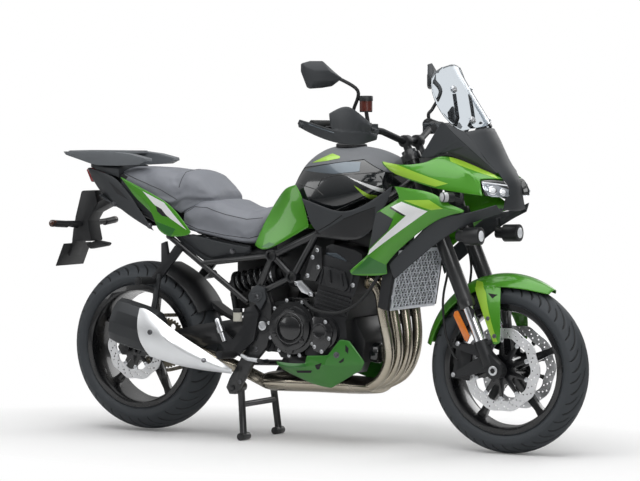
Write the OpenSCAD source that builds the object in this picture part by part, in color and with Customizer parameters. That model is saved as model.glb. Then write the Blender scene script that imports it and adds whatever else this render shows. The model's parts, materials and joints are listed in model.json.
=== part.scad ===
// Adventure motorcycle, upright on its centre stand.
// Millimetres. X is forward, Y is to the rider's left, Z is up.
// The origin is on the floor under the middle of the machine.

/* [Wheels] */
// Outer diameter of the front tyre
front_tyre_d = 600; // [580:1:620]
// Width of the front tyre
front_tyre_w = 120; // [110:1:125]
// Radius of the front tyre's crown
front_crown_r = 66; // [63:1:90]
// Outer diameter of the rear tyre
rear_tyre_d = 630; // [615:1:640]
// Width of the rear tyre
rear_tyre_w = 180; // [160:1:182]
// Radius of the rear tyre's crown
rear_crown_r = 102; // [95:1:130]
// Diameter of the bead seat on both rims
bead_d = 432; // [425:1:436]
// Width over the front tyre's beads
front_bead_w = 98; // [90:1:104]
// Width over the rear tyre's beads
rear_bead_w = 150; // [140:1:158]
// Height of the rim flange over the bead seat
flange_h = 13; // [9:1:16]
// Number of spokes in each wheel
spokes = 5; // [5:1:7]
// Width of a spoke at the hub
spoke_root_w = 40; // [30:1:46]
// Width of a spoke at the rim
spoke_tip_w = 22; // [16:1:28]
// Thickness of a spoke
spoke_t = 26; // [18:1:32]
// Diameter of the wheel hubs
hub_d = 84; // [74:1:92]

/* [Brakes] */
// Outer diameter of the front discs
front_disc_d = 300; // [290:1:306]
// Outer diameter of the rear disc
rear_disc_d = 250; // [240:1:260]
// Radial width of a disc's braking band
disc_band = 36; // [30:1:40]
// Thickness of a disc
disc_t = 5; // [4:0.5:6]
// Number of waves round a disc
disc_waves = 10; // [8:1:12]
// Depth of a disc's waves
wave_depth = 6; // [3:0.5:8]
// Distance of a front disc's middle from the centre plane
front_disc_y = 62.5; // [61:0.5:65]
// Distance of the rear disc's middle from the centre plane
rear_disc_y = 98; // [96:0.5:100]

/* [Steering] */
// Lean of the steering axis from upright
rake = 23.5; // [22:0.25:25]
// Place of the steering head's middle, forward
head_x = 466.3; // [460:0.1:475]
// Height of the steering head's middle
head_z = 923.3; // [915:0.1:930]
// Length of the steering head
head_len = 190; // [180:1:200]
// Outside diameter of the steering head
head_d = 64; // [58:1:70]
// Diameter of the steering stem
stem_d = 30; // [26:1:34]
// Distance of the fork legs ahead of the stem
yoke_offset = 32; // [28:1:36]
// Distance of the front axle ahead of the fork legs
axle_lead = 15; // [12:1:18]
// Distance between the fork legs
fork_w = 210; // [206:1:214]
// Diameter of the fork's outer tubes
fork_outer_d = 54; // [52:1:56]
// Diameter of the fork's inner tubes
fork_inner_d = 41; // [38:1:43]
// Height of the outer tubes' lower end over the axle, along the fork
slider_z = 240; // [225:1:255]
// Diameter of the front axle
front_axle_d = 24; // [22:1:26]
// Bore through the hollow front axle
front_axle_bore = 15; // [12:1:16]
// Lock to either side
steer_lock = 32; // [25:1:34]

/* [Frame] */
// Place of the swingarm pivot, forward
pivot_x = -119; // [-125:1:-113]
// Height of the swingarm pivot
pivot_z = 426; // [420:1:432]
// Distance from the pivot to the rear axle
swingarm_len = 609; // [600:1:618]
// Diameter of the trellis tubes
trellis_d = 28; // [24:1:30]
// How much thinner each next tube of a run is
tube_step = 0.8; // [0.5:0.1:1]
// Diameter of the subframe tubes
sub_d = 22; // [18:1:24]
// Inner face of the pivot plates, from the centre plane
plate_y = 150; // [148:0.5:152]
// Thickness of the pivot plates
plate_t = 22; // [18:1:24]
// Diameter of the swingarm spindle
spindle_d = 24; // [20:1:26]
// Inner face of the swingarm's arms, from the centre plane
arm_y = 115; // [114:0.5:117]
// Thickness of the swingarm's arms
arm_t = 33; // [28:1:34]
// Diameter of the rear axle
rear_axle_d = 24; // [20:1:26]

/* [Drive] */
// Pitch radius of the front sprocket
drive_r = 41; // [38:1:44]
// Pitch radius of the rear sprocket
driven_r = 104; // [98:1:108]
// Number of teeth on the rear sprocket
driven_teeth = 42; // [38:1:46]
// Middle of the chain, from the centre plane
chain_y = 104; // [103.5:0.1:104.5]
// Width of the chain
chain_w = 15; // [13:0.5:16]
// Height of the chain's side plates
chain_h = 14; // [12:0.5:16]

/* [Exhaust] */
// Diameter of the header pipes
header_d = 38; // [34:1:40]
// Spacing of the engine's cylinders
cyl_pitch = 84; // [80:1:86]
// Diameter of the link pipe to the silencer
link_d = 48; // [44:1:50]
// Half width of the silencer
can_a = 58; // [54:1:60]
// Half height of the silencer
can_b = 84; // [78:1:86]

/* [Bodywork] */
// Thickness of the plastic panels
panel_t = 3; // [2.5:0.1:3.5]
// Thickness of the windscreen
screen_t = 4; // [3:0.1:4.5]
// Gap of the front fender over the tyre
fender_gap = 30; // [26:1:36]
// Half width of the front fender
fender_w = 70; // [66:1:73]
// Thickness of the rack's plate
rack_t = 10; // [8:1:14]
// Bolt holes in the rack's plate
rack_hole_d = 9; // [7:0.5:11]
// Spacing of the rack's bolt holes, across
rack_hole_w = 120; // [110:1:126]
// Spacing of the rack's bolt holes, lengthwise
rack_hole_l = 180; // [160:1:190]
// Width of the number plate
plate_w = 180; // [160:1:200]
// Height of the number plate
plate_h = 92; // [85:1:100]

/* [Controls] */
// Diameter of the handlebar
bar_d = 24; // [22:1:28]
// Diameter of the grips
grip_d = 34; // [32:1:37]
// Distance of a bar end from the centre plane
bar_end_y = 436; // [425:1:445]

/* [Stands] */
// Place of the centre stand's pivot, forward
stand_x = -250; // [-256:1:-246]
// Height of the centre stand's pivot
stand_z = 195; // [188:1:200]
// Distance of the feet ahead of the centre stand's pivot
stand_over = 18; // [12:1:24]
// Height of the rear tyre over the floor on the centre stand
rear_lift = 6; // [3:1:12]
// Diameter of the centre stand's tubes
stand_d = 26; // [22:1:28]
// Radius of the stand's rolled feet
foot_r = 14; // [11:1:16]
// Length of the side stand's leg
side_leg = 215; // [200:1:225]

/* [Fits] */
// Radial clearance of turning pieces on their pins
pin_gap = 0.4; // [0.3:0.05:0.6]
// Gap between pieces that turn past each other
side_gap = 1; // [0.6:0.1:1.5]
// Gap between tyre and rim, and at other quiet seats
seat_gap = 0.1; // [0.05:0.05:0.3]
// Bore of the paddock stand's sockets in the swingarm
bobbin_d = 10; // [8:1:12]

/* [Hidden] */
$fn = 40;
front_r = front_tyre_d / 2;
rear_r = rear_tyre_d / 2;
bead_r = bead_d / 2;
// Steering: the axle's place follows from the head, the rake and the tyre
lead = yoke_offset + axle_lead;
drop = (head_z + lead * sin(rake) - front_r) / cos(rake);
front_x = head_x + drop * sin(rake) + lead * cos(rake);
fork_y = fork_w / 2;
yoke_lo = drop - head_len / 2 - side_gap;
yoke_hi = drop + head_len / 2 + side_gap;
yoke_lo_t = 36;
yoke_hi_t = 26;
fork_top = yoke_hi + yoke_hi_t + 14;
foot_top = 116;
// Rear axle: on the swingarm's circle, at the tyre's height
rear_z = rear_r + rear_lift;
rear_x = pivot_x - sqrt(pow(swingarm_len, 2) - pow(pivot_z - rear_z, 2));
// The number plate's lower edge reaches as far back as the front tyre does forward
tail_x = -(front_x + front_r);
front_rim_h = front_bead_w / 2 + 6;
rear_rim_h = rear_bead_w / 2 + 6;
drive_p = [-45, 420];

// Helpers: points and curves
function unit(v) = v / norm(v);
function mid(a, b, t) = a + (b - a) * t;
// Point between b and c on a smooth curve through a, b, c, d
function bend(a, b, c, d, t) = 0.5 * (2 * b + (c - a) * t
  + (2 * a - 5 * b + 4 * c - d) * t * t + (3 * b - a - 3 * c + d) * t * t * t);
function on_rail(p, u) = let (n = len(p) - 1, i = min(floor(u), n - 1))
  bend(p[max(i - 1, 0)], p[i], p[i + 1], p[min(i + 2, n)], u - i);
// The curve through the points p, in so many steps
function rail(p, steps) = [for (k = [0 : steps]) on_rail(p, k * (len(p) - 1) / steps)];
// Grid of points: each row smoothed along its length, rows as given
function rows_of(rails, steps) = [for (r = rails) rail(r, steps)];
function grid_n(g, i, j) = let (r = len(g) - 1, c = len(g[0]) - 1)
  unit(cross(g[min(i + 1, r)][j] - g[max(i - 1, 0)][j], g[i][min(j + 1, c)] - g[i][max(j - 1, 0)]));
// Ring of n points round c, across direction d, radii ra and rb
function ring(c, d, ra, rb, n, up = [0, 0, 1]) = let (a = unit(cross(up, d)), b = cross(d, a))
  [for (k = [0 : n - 1]) c + ra * cos(360 * k / n) * a + rb * sin(360 * k / n) * b];

// Panel of even thickness; rows run from top to bottom, points from rear to front on the right side
module shell(g, t) {
  r = len(g); c = len(g[0]);
  out = [for (i = [0 : r - 1]) for (j = [0 : c - 1]) g[i][j]];
  inn = [for (i = [0 : r - 1]) for (j = [0 : c - 1]) g[i][j] - t * grid_n(g, i, j)];
  n = r * c;
  skin = [for (i = [0 : r - 2]) for (j = [0 : c - 2]) let (a = i * c + j, b = a + 1, d = a + c, e = d + 1)
    each [[a, b, e], [a, e, d], [n + a, n + e, n + b], [n + a, n + d, n + e]]];
  rim = concat(
    [for (j = [0 : c - 2]) each [[j, n + j, n + j + 1], [j, n + j + 1, j + 1]]],
    [for (j = [0 : c - 2]) let (a = (r - 1) * c + j) each [[a, a + 1, n + a + 1], [a, n + a + 1, n + a]]],
    [for (i = [0 : r - 2]) let (a = i * c) each [[n + a, a, a + c], [n + a, a + c, n + a + c]]],
    [for (i = [0 : r - 2]) let (a = i * c + c - 1) each [[n + a, n + a + c, a + c], [n + a, a + c, a]]]);
  polyhedron(points = concat(out, inn), faces = concat(skin, rim));
}
// Solid through closed rings of points
module loft(rings) {
  m = len(rings); n = len(rings[0]);
  side = [for (i = [0 : m - 2]) for (k = [0 : n - 1]) let (k1 = (k + 1) % n)
    each [[i * n + k, (i + 1) * n + k, (i + 1) * n + k1], [i * n + k, (i + 1) * n + k1, i * n + k1]]];
  ends = concat([for (k = [1 : n - 2]) [0, k, k + 1]],
    [for (k = [1 : n - 2]) let (o = (m - 1) * n) [o, o + k + 1, o + k]]);
  polyhedron(points = [for (r = rings) each r], faces = concat(side, ends));
}
// Bent pipe or rod along a path
module pipe(path, d, sides = 12, up = [0, 1, 0]) {
  m = len(path) - 1;
  loft([for (i = [0 : m]) ring(path[i], unit(path[min(i + 1, m)] - path[max(i - 1, 0)]), d / 2, d / 2, sides, up)]);
}
// Straight round bar from a to b
module tube(a, b, d) {
  v = b - a;
  translate(a) rotate([0, acos(v[2] / norm(v)), atan2(v[1], v[0])]) cylinder(d = d, h = norm(v));
}
// The same with flat sides, for pieces joined into one mesh
module rod(a, b, d, sides = 16) { pipe([a, b], d, sides, abs((b - a)[2]) > 0.7 * norm(b - a) ? [0, 1, 0] : [0, 0, 1]); }
// Peg behind a panel, from a place on its grid to a seat on another piece
module peg(g, i, j, to, d = 12) {
  n = grid_n(g, i, j);
  pipe([g[i][j] - n * panel_t / 2, g[i][j] - n * 12, to], d, 8, [0.3, 0, 1]);
}
// Run of straight tubes, each a little thinner than the one before and carried past the joints
module run(p, d) {
  n = len(p) - 2;
  for (i = [0 : n]) let (v = unit(p[i + 1] - p[i]) * d / 4)
    tube(p[i] - (i > 0 ? v : [0, 0, 0]), p[i + 1] + (i < n ? v : [0, 0, 0]), d - tube_step * i);
}
module both() { children(); mirror([0, 1, 0]) children(); }
// Plate from a side outline (x, z) between two distances from the centre plane, right side
module slab(outline, y0, y1) {
  translate([0, -y0, 0]) rotate([90, 0, 0]) linear_extrude(y1 - y0) polygon(outline);
}
// Round boss across the machine, right side
module boss(x, z, d, y0, y1) { translate([x, -y0, z]) rotate([90, 0, 0]) cylinder(d = d, h = y1 - y0); }
// Frames: the fork (z up its legs, at the front axle), the wheels (z to the right)
module fork_frame() { translate([front_x, 0, front_r]) rotate([0, -rake, 0]) children(); }
module front_wheel_frame() { translate([front_x, 0, front_r]) rotate([90, 0, 0]) children(); }
module rear_wheel_frame() { translate([rear_x, 0, rear_z]) rotate([90, 0, 0]) children(); }

// Wheels
module tyre(r, w, crown, bead_w) {
  shoulder = r - crown + sqrt(crown * crown - w * w / 4);
  b = bead_w / 2;
  rotate_extrude() intersection() {
    translate([r - crown, 0]) circle(crown, $fn = 96);
    polygon([[bead_r, -b], [bead_r + flange_h + 3, -b], [shoulder, -w / 2], [r + 1, -w / 2],
      [r + 1, w / 2], [shoulder, w / 2], [bead_r + flange_h + 3, b], [bead_r, b]]);
  }
}
module rim(bead_w, half) {
  b = bead_w / 2 + seat_gap; s = bead_r - seat_gap; f = bead_r + flange_h;
  rotate_extrude() polygon([[s - 14, -b + 22], [s - 7, -half], [f, -half], [f, -b], [s, -b],
    [s, b], [f, b], [f, half], [s - 7, half], [s - 14, b - 22]]);
}
module spoke_star(turn) {
  for (i = [0 : spokes - 1]) rotate(turn + 360 * i / spokes) translate([0, 0, -spoke_t / 2]) linear_extrude(spoke_t)
    polygon([[0, -spoke_root_w / 2], [hub_d / 2 + 6, -spoke_root_w / 2 + 2], [bead_r - 40, -spoke_tip_w / 2], [bead_r - 8, -spoke_tip_w / 2 - 6],
      [bead_r - 8, spoke_tip_w / 2 + 6], [bead_r - 40, spoke_tip_w / 2], [hub_d / 2 + 6, spoke_root_w / 2 - 2], [0, spoke_root_w / 2]]);
}
function wave(r, depth, n) = [for (k = [0 : 8 * n - 1]) let (a = 360 * k / (8 * n)) (r - depth / 2 * (1 - cos(n * a))) * [cos(a), sin(a)]];
module brake_disc(d) {
  translate([0, 0, -disc_t / 2]) linear_extrude(disc_t) difference() {
    polygon(wave(d / 2, wave_depth, disc_waves));
    polygon(wave(d / 2 - disc_band, wave_depth, disc_waves));
  }
}
// Arms that carry a disc, out to its inner waves
module carrier(d, t) {
  tip = d / 2 - disc_band - wave_depth - 0.4;
  translate([0, 0, -t / 2]) {
    cylinder(r = hub_d / 2 + 12, h = t);
    linear_extrude(t) for (i = [0 : disc_waves - 1]) rotate(360 * (i + 0.5) / disc_waves)
      polygon([[hub_d / 2, -11], [tip - 8, -6], [tip, -8], [tip, 8], [tip - 8, 6], [hub_d / 2, 11]]);
  }
}
module front_tyre() color([0.05, 0.05, 0.05]) front_wheel_frame() tyre(front_r, front_tyre_w, front_crown_r, front_bead_w);
module front_rim() color([0.08, 0.08, 0.09]) front_wheel_frame() difference() {
  union() {
    rim(front_bead_w, front_rim_h);
    spoke_star(22);
    cylinder(d = hub_d, h = 2 * front_disc_y, center = true);
    for (s = [-1, 1]) translate([0, 0, s * front_disc_y]) carrier(front_disc_d, disc_t);
  }
  cylinder(d = front_axle_d + 2 * pin_gap, h = 3 * front_disc_y, center = true);
}
module front_discs() color([0.7, 0.7, 0.72]) front_wheel_frame()
  for (s = [-1, 1]) translate([0, 0, s * front_disc_y]) brake_disc(front_disc_d);
module rear_tyre() color([0.05, 0.05, 0.05]) rear_wheel_frame() tyre(rear_r, rear_tyre_w, rear_crown_r, rear_bead_w);
module rear_rim() color([0.08, 0.08, 0.09]) rear_wheel_frame() difference() {
  union() {
    rim(rear_bead_w, rear_rim_h);
    spoke_star(8);
    translate([0, 0, -hub_left]) cylinder(d = hub_d, h = hub_left + rear_disc_y);
    translate([0, 0, rear_disc_y]) carrier(rear_disc_d, disc_t);
  }
  cylinder(d = rear_axle_d + 2 * pin_gap, h = 4 * rear_disc_y, center = true);
}
hub_left = chain_y - 4;
module rear_disc() color([0.7, 0.7, 0.72]) rear_wheel_frame() translate([0, 0, rear_disc_y]) brake_disc(rear_disc_d);
module rear_sprocket() color([0.5, 0.5, 0.5]) rear_wheel_frame() translate([0, 0, -chain_y - 3]) difference() {
  root = driven_r - chain_h / 2 - 8; tip = driven_r - chain_h / 2 - 1.5;
  linear_extrude(7) difference() {
    polygon([for (k = [0 : driven_teeth - 1]) for (s = [0 : 3]) let (a = 360 * (k + s / 4) / driven_teeth)
      (s == 1 || s == 2 ? tip : root) * [cos(a), sin(a)]]);
    for (i = [0 : 5]) rotate(60 * i) translate([70, 0]) circle(12);
  }
  translate([0, 0, -1]) cylinder(d = rear_axle_d + 2 * pin_gap, h = 9);
}

// Steering body
module fork_upper() color([0.06, 0.06, 0.07]) fork_frame() {
  for (s = [-1, 1]) {
    translate([-axle_lead, s * fork_y, slider_z]) cylinder(d = fork_outer_d, h = fork_top - slider_z);
    translate([-axle_lead, s * fork_y, slider_z]) cylinder(d = fork_outer_d + 8, h = 34);
  }
  yoke(yoke_lo - yoke_lo_t, yoke_lo_t);
  yoke(yoke_hi, yoke_hi_t);
  translate([-lead, 0, yoke_lo - 5]) cylinder(d = stem_d, h = yoke_hi - yoke_lo + 10);
}
module yoke(z, t) {
  for (s = [-1, 1]) translate([-axle_lead, s * fork_y, z]) cylinder(d = fork_outer_d + 18, h = t);
  translate([-lead, 0, z]) cylinder(d = head_d - 4, h = t);
  translate([0, 0, z]) linear_extrude(t) polygon([[-lead - 22, -24], [-axle_lead - 20, -fork_y], [-axle_lead + 18, -fork_y], [-lead + 24, -20],
    [-lead + 24, 20], [-axle_lead + 18, fork_y], [-axle_lead - 20, fork_y], [-lead - 22, 24]]);
}
module fork_tubes() color([0.8, 0.8, 0.82]) fork_frame() for (s = [-1, 1])
  translate([-axle_lead, s * fork_y, foot_top]) cylinder(d = fork_inner_d, h = slider_z - foot_top);
// Feet of the fork with the axle clamps, the calipers' lugs and the hollow axle
lug_a = [-109, 141];
lug_b = [-159, 43];
foot_in = fork_y - 23;
foot_out = fork_y + 20;
module fork_feet() color([0.1, 0.1, 0.11]) fork_frame() difference() {
  union() {
    for (s = [-1, 1]) scale([1, s, 1]) {
      translate([-axle_lead, fork_y, 22]) cylinder(d = fork_inner_d + 10, h = foot_top - 22);
      translate([0, foot_in, 0]) rotate([-90, 0, 0]) cylinder(d = 62, h = foot_out - foot_in);
      translate([0, foot_in, 0]) rotate([-90, 0, 0]) linear_extrude(foot_out - foot_in)
        polygon([[-axle_lead - 22, -60], [-axle_lead + 22, -60], [28, -10], [-30, -4]]);
      translate([0, fork_y - 12, 0]) rotate([-90, 0, 0]) linear_extrude(22)
        polygon([[-axle_lead, -96], [lug_a[0] - 8, -lug_a[1] - 9], [lug_a[0] - 11, -lug_a[1] + 9], [-axle_lead - 24, -66],
          [lug_b[0] - 6, -lug_b[1] - 9], [lug_b[0] - 6, -lug_b[1] + 9], [-axle_lead - 10, -6], [0, -30]]);
      tube([-axle_lead, fork_y, 98], [26.5, fork_y + 2, 98], 18);
    }
    translate([0, -foot_out - 6, 0]) rotate([-90, 0, 0]) cylinder(d = front_axle_d, h = 2 * foot_out + 12);
  }
  translate([0, -foot_out - 8, 0]) rotate([-90, 0, 0]) cylinder(d = front_axle_bore, h = 2 * foot_out + 16);
}
module front_calipers() color([0.07, 0.07, 0.08]) fork_frame() both() rotate([90, 0, 0]) rotate(148) difference() {
  union() {
    translate([cal_in, -62, front_disc_y - 22]) cube([56, 124, 40]);
    translate([cal_in + 56, -48, front_disc_y - 18]) cube([8, 96, 32]);
    for (q = [[cal_in + 47, -53], [cal_in + 42, 46]]) translate([q[0], q[1], front_disc_y + 10]) cylinder(d = 18, h = fork_y - 12.3 - front_disc_y - 10);
  }
  translate([0, 0, front_disc_y - disc_t / 2 - 1.5]) cylinder(d = front_disc_d + 14, h = disc_t + 3);
}
cal_in = front_disc_d / 2 - 34;
// Handlebar, its clamps, grips and switches
bar_p = [[397, 0, 1093], [394, -62, 1094], [372, -170, 1128], [312, -285, 1150], [236, -bar_end_y, 1152]];
grip_a = mid(bar_p[3], bar_p[4], 0.14);
bar_dir = unit(bar_p[4] - bar_p[3]);
module handlebar() color([0.07, 0.07, 0.07]) {
  pipe([for (i = [4 : -1 : 1]) bar_p[i], for (i = [1 : 4]) [bar_p[i][0], -bar_p[i][1], bar_p[i][2]]], bar_d, 16, [0, 0, 1]);
  both() {
    rod(grip_a, bar_p[4] - bar_dir * 3, grip_d);
    rod(mid(bar_p[3], bar_p[4], -0.14), mid(bar_p[3], bar_p[4], 0.12), house_d);
    // Cylinder for the brake or clutch fluid
    rod(bar_p[3] + [6, 9, 0], bar_p[3] + [66, 21, -4], 28);
  }
  for (s = [-1, 1]) riser(s);
  // Brake fluid bottle on the right
  rod(bar_p[3] + [58, 18, 0], [372, -288, 1202], 14);
  rod([374, -292, 1197], [374, -292, 1253], 44);
}
// Hand levers, each on a stub from its switch housing, ahead of the grip
house_d = 46;
lever_out = unit([1, 0, 0] - bar_dir * bar_dir[0]);
module levers() color([0.1, 0.1, 0.1]) both() {
  rod(bar_p[3] + lever_out * (house_d / 2 + seat_gap), bar_p[3] + lever_out * 50, 18);
  pipe([bar_p[3] + lever_out * 42, mid(bar_p[3], bar_p[4], 0.55) + [58, 0, -6], bar_p[4] + [46, 22, -8]], 11, 8, [0, 0, 1]);
}
// Bar clamp on the upper yoke
module riser(s) {
  fork_frame() rod([-lead + 1, s * 44, yoke_hi + yoke_hi_t], [-lead + 1, s * 44, yoke_hi + yoke_hi_t + 26], 34);
  top = fork_pt(-lead + 1, yoke_hi + yoke_hi_t + 24);
  rod([top[0], s * 44, top[1]], [396, s * 44, 1093], 30);
  rod([396, s * 44 - 16, 1093], [396, s * 44 + 16, 1093], 44);
}
// Side view place (x, z) of a point in the fork's frame
function fork_pt(x, z) = [front_x + x * cos(rake) - z * sin(rake), front_r + x * sin(rake) + z * cos(rake)];
guard_rails = [
  [[212, -474, 1172], [272, -463, 1155], [324, -441, 1138], [372, -394, 1130], [405, -330, 1128], [402, -262, 1122]],
  [[205, -474, 1158], [269, -461, 1134], [333, -432, 1112], [377, -382, 1107], [407, -318, 1110], [404, -262, 1112]],
  [[213, -472, 1144], [262, -452, 1116], [330, -420, 1090], [385, -368, 1084], [402, -310, 1094], [400, -262, 1100]]];
// Wind deflector over the guard, its lower edge behind the guard's upper edge
deflector_rails = [
  [[310, -438, 1193], [331, -421, 1208], [350, -400, 1217], [370, -374, 1210], [404, -318, 1162]],
  [[314, -443, 1173], [340, -427, 1180], [366, -403, 1180], [390, -370, 1168], [411, -321, 1146]],
  [[320, -437, 1132], [344, -421, 1128], [362, -403, 1125], [384, -370, 1122], [404, -314, 1120]]];
module handguards() color([0.12, 0.12, 0.13]) both() {
  shell(rows_of(guard_rails, 10), 4);
  shell(rows_of(deflector_rails, 8), 4);
  // End bolt on the bar, and the arm from the inner clamp
  tube(bar_p[4] + bar_dir * (bar_d / 2 + seat_gap), bar_p[4] + bar_dir * 46, 18);
  difference() {
    union() {
      translate(mid(bar_p[2], bar_p[3], 0.35)) rotate(atan2(bar_p[3][1] - bar_p[2][1], bar_p[3][0] - bar_p[2][0])) cube([28, 42, 40], center = true);
      tube(mid(bar_p[2], bar_p[3], 0.35) + [12, -16, 0], [404, -266, 1130], 16);
    }
    tube(bar_p[2], bar_p[3], bar_d + 2 * seat_gap);
  }
}
mirror_rings = [[302, -344, 1318, 7, 10], [288, -362, 1324, 15, 34], [264, -402, 1330, 23, 47], [236, -444, 1328, 18, 42], [222, -466, 1324, 7, 22]];
module mirrors() color([0.1, 0.1, 0.11]) both() {
  loft([for (m = mirror_rings) ring([m[0], m[1], m[2]], [0, -1, 0], m[3], m[4], 16)]);
  pipe([bar_p[3] + [2, 4, 23.4], [314, -281, 1190], [326, -292, 1210], [350, -308, 1272], [296, -352, 1318]], 12, 10, [0, 1, 0]);
}
// Front fender: an arch over the tyre and two covers down to the fork's feet
fender_r = front_r + fender_gap;
function fender_at(a, s) = let (q = (a - 108) / 58, w = fender_w * (a < 84 ? mid(0.25, 1, sqrt(max(0, (a - 57) / 27))) : 1 - 0.25 * max(0, q) * max(0, q)),
  r = fender_r + 6 * cos(90 * q) - 46 * pow(abs(s), 2.4) * w / fender_w)
  [front_x + r * cos(a), -w * s, front_r + r * sin(a)];
// Upper edge of a cover, in shares of the arch's radius from the axle; lower edge, in millimetres from the axle
leg_top = [[-0.317, -66, 0.861], [-0.162, -69, 0.885], [-0.008, -66, 0.873]];
leg_foot = [[-13.6, -110, 98], [-1.6, -115, 90], [15.4, -108, 96]];
// Rows of a cover: share of the way up, then how far it swells forward and outward
leg_rows = [[1, 0, 0], [0.77, 7, 17], [0.47, 9, 18], [0.22, 7, 10], [0, 0, 0]];
fender_leg = [for (r = leg_rows) [for (i = [0 : 2]) [front_x, 0, front_r] + [r[1], -r[2], 0]
  + mid(leg_foot[i], [leg_top[i][0] * fender_r, leg_top[i][1], leg_top[i][2] * fender_r], r[0])]];
module front_fender() color([0.35, 0.6, 0.1]) {
  shell([for (i = [0 : 14]) [for (s = [-1 : 0.2 : 1]) fender_at(58 + 108 * i / 14, s)]], panel_t);
  both() shell(rows_of(fender_leg, 6), panel_t);
}

// Frame
node_a = [-82, -165, 680];
node_b = [4, -165, 606];
node_u = [106, -170, 763];
node_m = [300, -122, 850];
node_g = [228, -166, 752];
rail_a = [-200, -96, 690];
rail_b = [-480, -96, 732];
rail_c = [-780, -94, 856];
rail_d = [-868, -44, 900];
head_hi = fork_pt(-lead, drop + 58);
head_lo = fork_pt(-lead, drop - 62);
plate_outline = [[-168, 566], [-112, 572], [-84, 500], [-84, 420], [-104, 350], [-168, 282], [-222, 196], [-238, 172], [-262, 172], [-276, 196],
  [-262, 228], [-216, 300], [-170, 372], [-160, 440], [-178, 500]];
stand_axis = unit([-0.1, 0.95, 0.184]);
stand_pin = [-208, plate_y + plate_t + 12, 258];
module frame() color([0.05, 0.05, 0.05]) difference() {
  union() {
    fork_frame() translate([-lead, 0, drop - head_len / 2]) cylinder(d = head_d, h = head_len);
    both() {
      run([[head_hi[0], -14, head_hi[1]], node_m, node_u, node_a, [-146, -plate_y - plate_t / 2, 552]], trellis_d);
      run([[head_lo[0], -14, head_lo[1]], node_g, node_u], trellis_d - 1.5 * tube_step);
      tube(node_m, node_g, trellis_d - 5 * tube_step);
      run([node_u, node_b, [-128, -plate_y - plate_t / 2, 548]], trellis_d - 3.3 * tube_step);
      tube(node_a, node_b, trellis_d - 4.7 * tube_step);
      for (p = [node_a, node_b]) boss(p[0], p[2], trellis_d + 14, -p[1] - 16, -p[1] + 18);
      slab(plate_outline, plate_y, plate_y + plate_t);
      // Subframe
      run([node_a, rail_a, rail_b, rail_c, rail_d], sub_d);
      run([mid(rail_b, rail_c, 0.25), [-545, -136, 738], [-190, -plate_y - plate_t / 2, 506]], sub_d - 0.5 * tube_step);
      tube(node_a, [-395, -146, 642], sub_d - 1.5 * tube_step);
    }
    for (p = [rail_b, rail_c, rail_d]) tube(p, [p[0], -p[1], p[2]], sub_d - 5 * tube_step);
    tube(node_a, [node_a[0], -node_a[1], node_a[2]], trellis_d - 6 * tube_step);
    tube([pivot_x, -plate_y - plate_t, pivot_z], [pivot_x, plate_y + plate_t, pivot_z], spindle_d);
    // Side stand's lug on the left plate
    tube(stand_pin - stand_axis * 24, stand_pin, 34);
  }
  fork_frame() translate([-lead, 0, drop - head_len]) cylinder(d = stem_d + 2 * pin_gap, h = 2 * head_len);
  both() {
    for (p = [node_a, node_b]) boss(p[0], p[2], trellis_d, -p[1] + 6, -p[1] + 30);
    boss(stand_x, stand_z, 16 + 2 * pin_gap, plate_y - 10, plate_y + plate_t + 10);
  }
  tube(stand_pin - stand_axis * 16, stand_pin + stand_axis * 10, 14 + 2 * pin_gap);
}

// Engine: case, cylinder block, head and cover, with mounting bosses to the pivot plates
module engine() color([0.09, 0.09, 0.1]) difference() {
  union() {
    mid_slab([[-72, 330], [-118, 332], [-126, 368], [-84, 376], [-80, 462], [-126, 474], [-128, 506], [-60, 516], [-20, 520], [70, 500], [222, 468], [230, 380], [196, 318], [60, 300], [-60, 312]], 145);
    mid_slab([[60, 330], [52, 480], [92, 500], [226, 470], [232, 392], [200, 322], [120, 310]], 178);
    mid_slab([[-70, 316], [70, 304], [190, 322], [160, 252], [-20, 252]], 96);
    mid_slab([[88, 486], [228, 458], [262, 556], [118, 590]], 176);
    mid_slab([[108, 586], [270, 552], [298, 650], [146, 690]], 186);
    mid_slab([[140, 690], [296, 650], [290, 694], [262, 708], [166, 728], [144, 718]], 172);
    boss(-112, 490, 44, -plate_y, plate_y);
    boss(-108, 352, 44, -plate_y, plate_y);
    both() head_ribs();
  }
  // Room for the chain and the front sprocket
  translate([drive_p[0], chain_y - chain_w / 2 - 5, drive_p[1]]) rotate([90, 0, 0]) translate([0, 0, -chain_w - 60]) linear_extrude(chain_w + 60) loop2d(chain_h / 2 + 6);
}
module mid_slab(outline, half) { slab(outline, -half, half); }
// Ribs on the ends of the cylinder head
module head_ribs() for (i = [0 : 3]) translate([128 + 40 * i, -186, 606 - 8 * i]) rotate([0, 15, 0]) translate([0, -5, -22]) cube([8, 6, 66]);
clutch_p = [15, 424];
pulser_p = [146, 412];
module engine_covers() color([0.07, 0.07, 0.08]) {
  difference() {
    union() {
      boss(clutch_p[0], clutch_p[1], 188, 145, 196);
      boss(clutch_p[0], clutch_p[1], 160, 190, 210);
    }
    boss(clutch_p[0], clutch_p[1], 116, 205, 215);
    mid_slab([[60 - seat_gap, 330], [52 - seat_gap, 480], [52 - seat_gap, 540], [130, 540], [130, 306], [118, 306]], 178 + seat_gap);
  }
  difference() {
    union() {
      boss(pulser_p[0], pulser_p[1], 116, 178, 200);
      boss(pulser_p[0], pulser_p[1], 84, 196, 208);
    }
    boss(clutch_p[0], clutch_p[1], 192, 170, 230);
  }
  mirror([0, 1, 0]) {
    boss(pulser_p[0], pulser_p[1], 112, 178, 202);
    boss(pulser_p[0], pulser_p[1], 84, 200, 210);
    slab([[-78, 372], [-76, 470], [-30, 486], [42, 474], [46, 362], [-40, 346]], 145, 168);
  }
}

// Cooling
rad_lean = 9.5;
rad_w = 172;
rad_h = 224;
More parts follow.
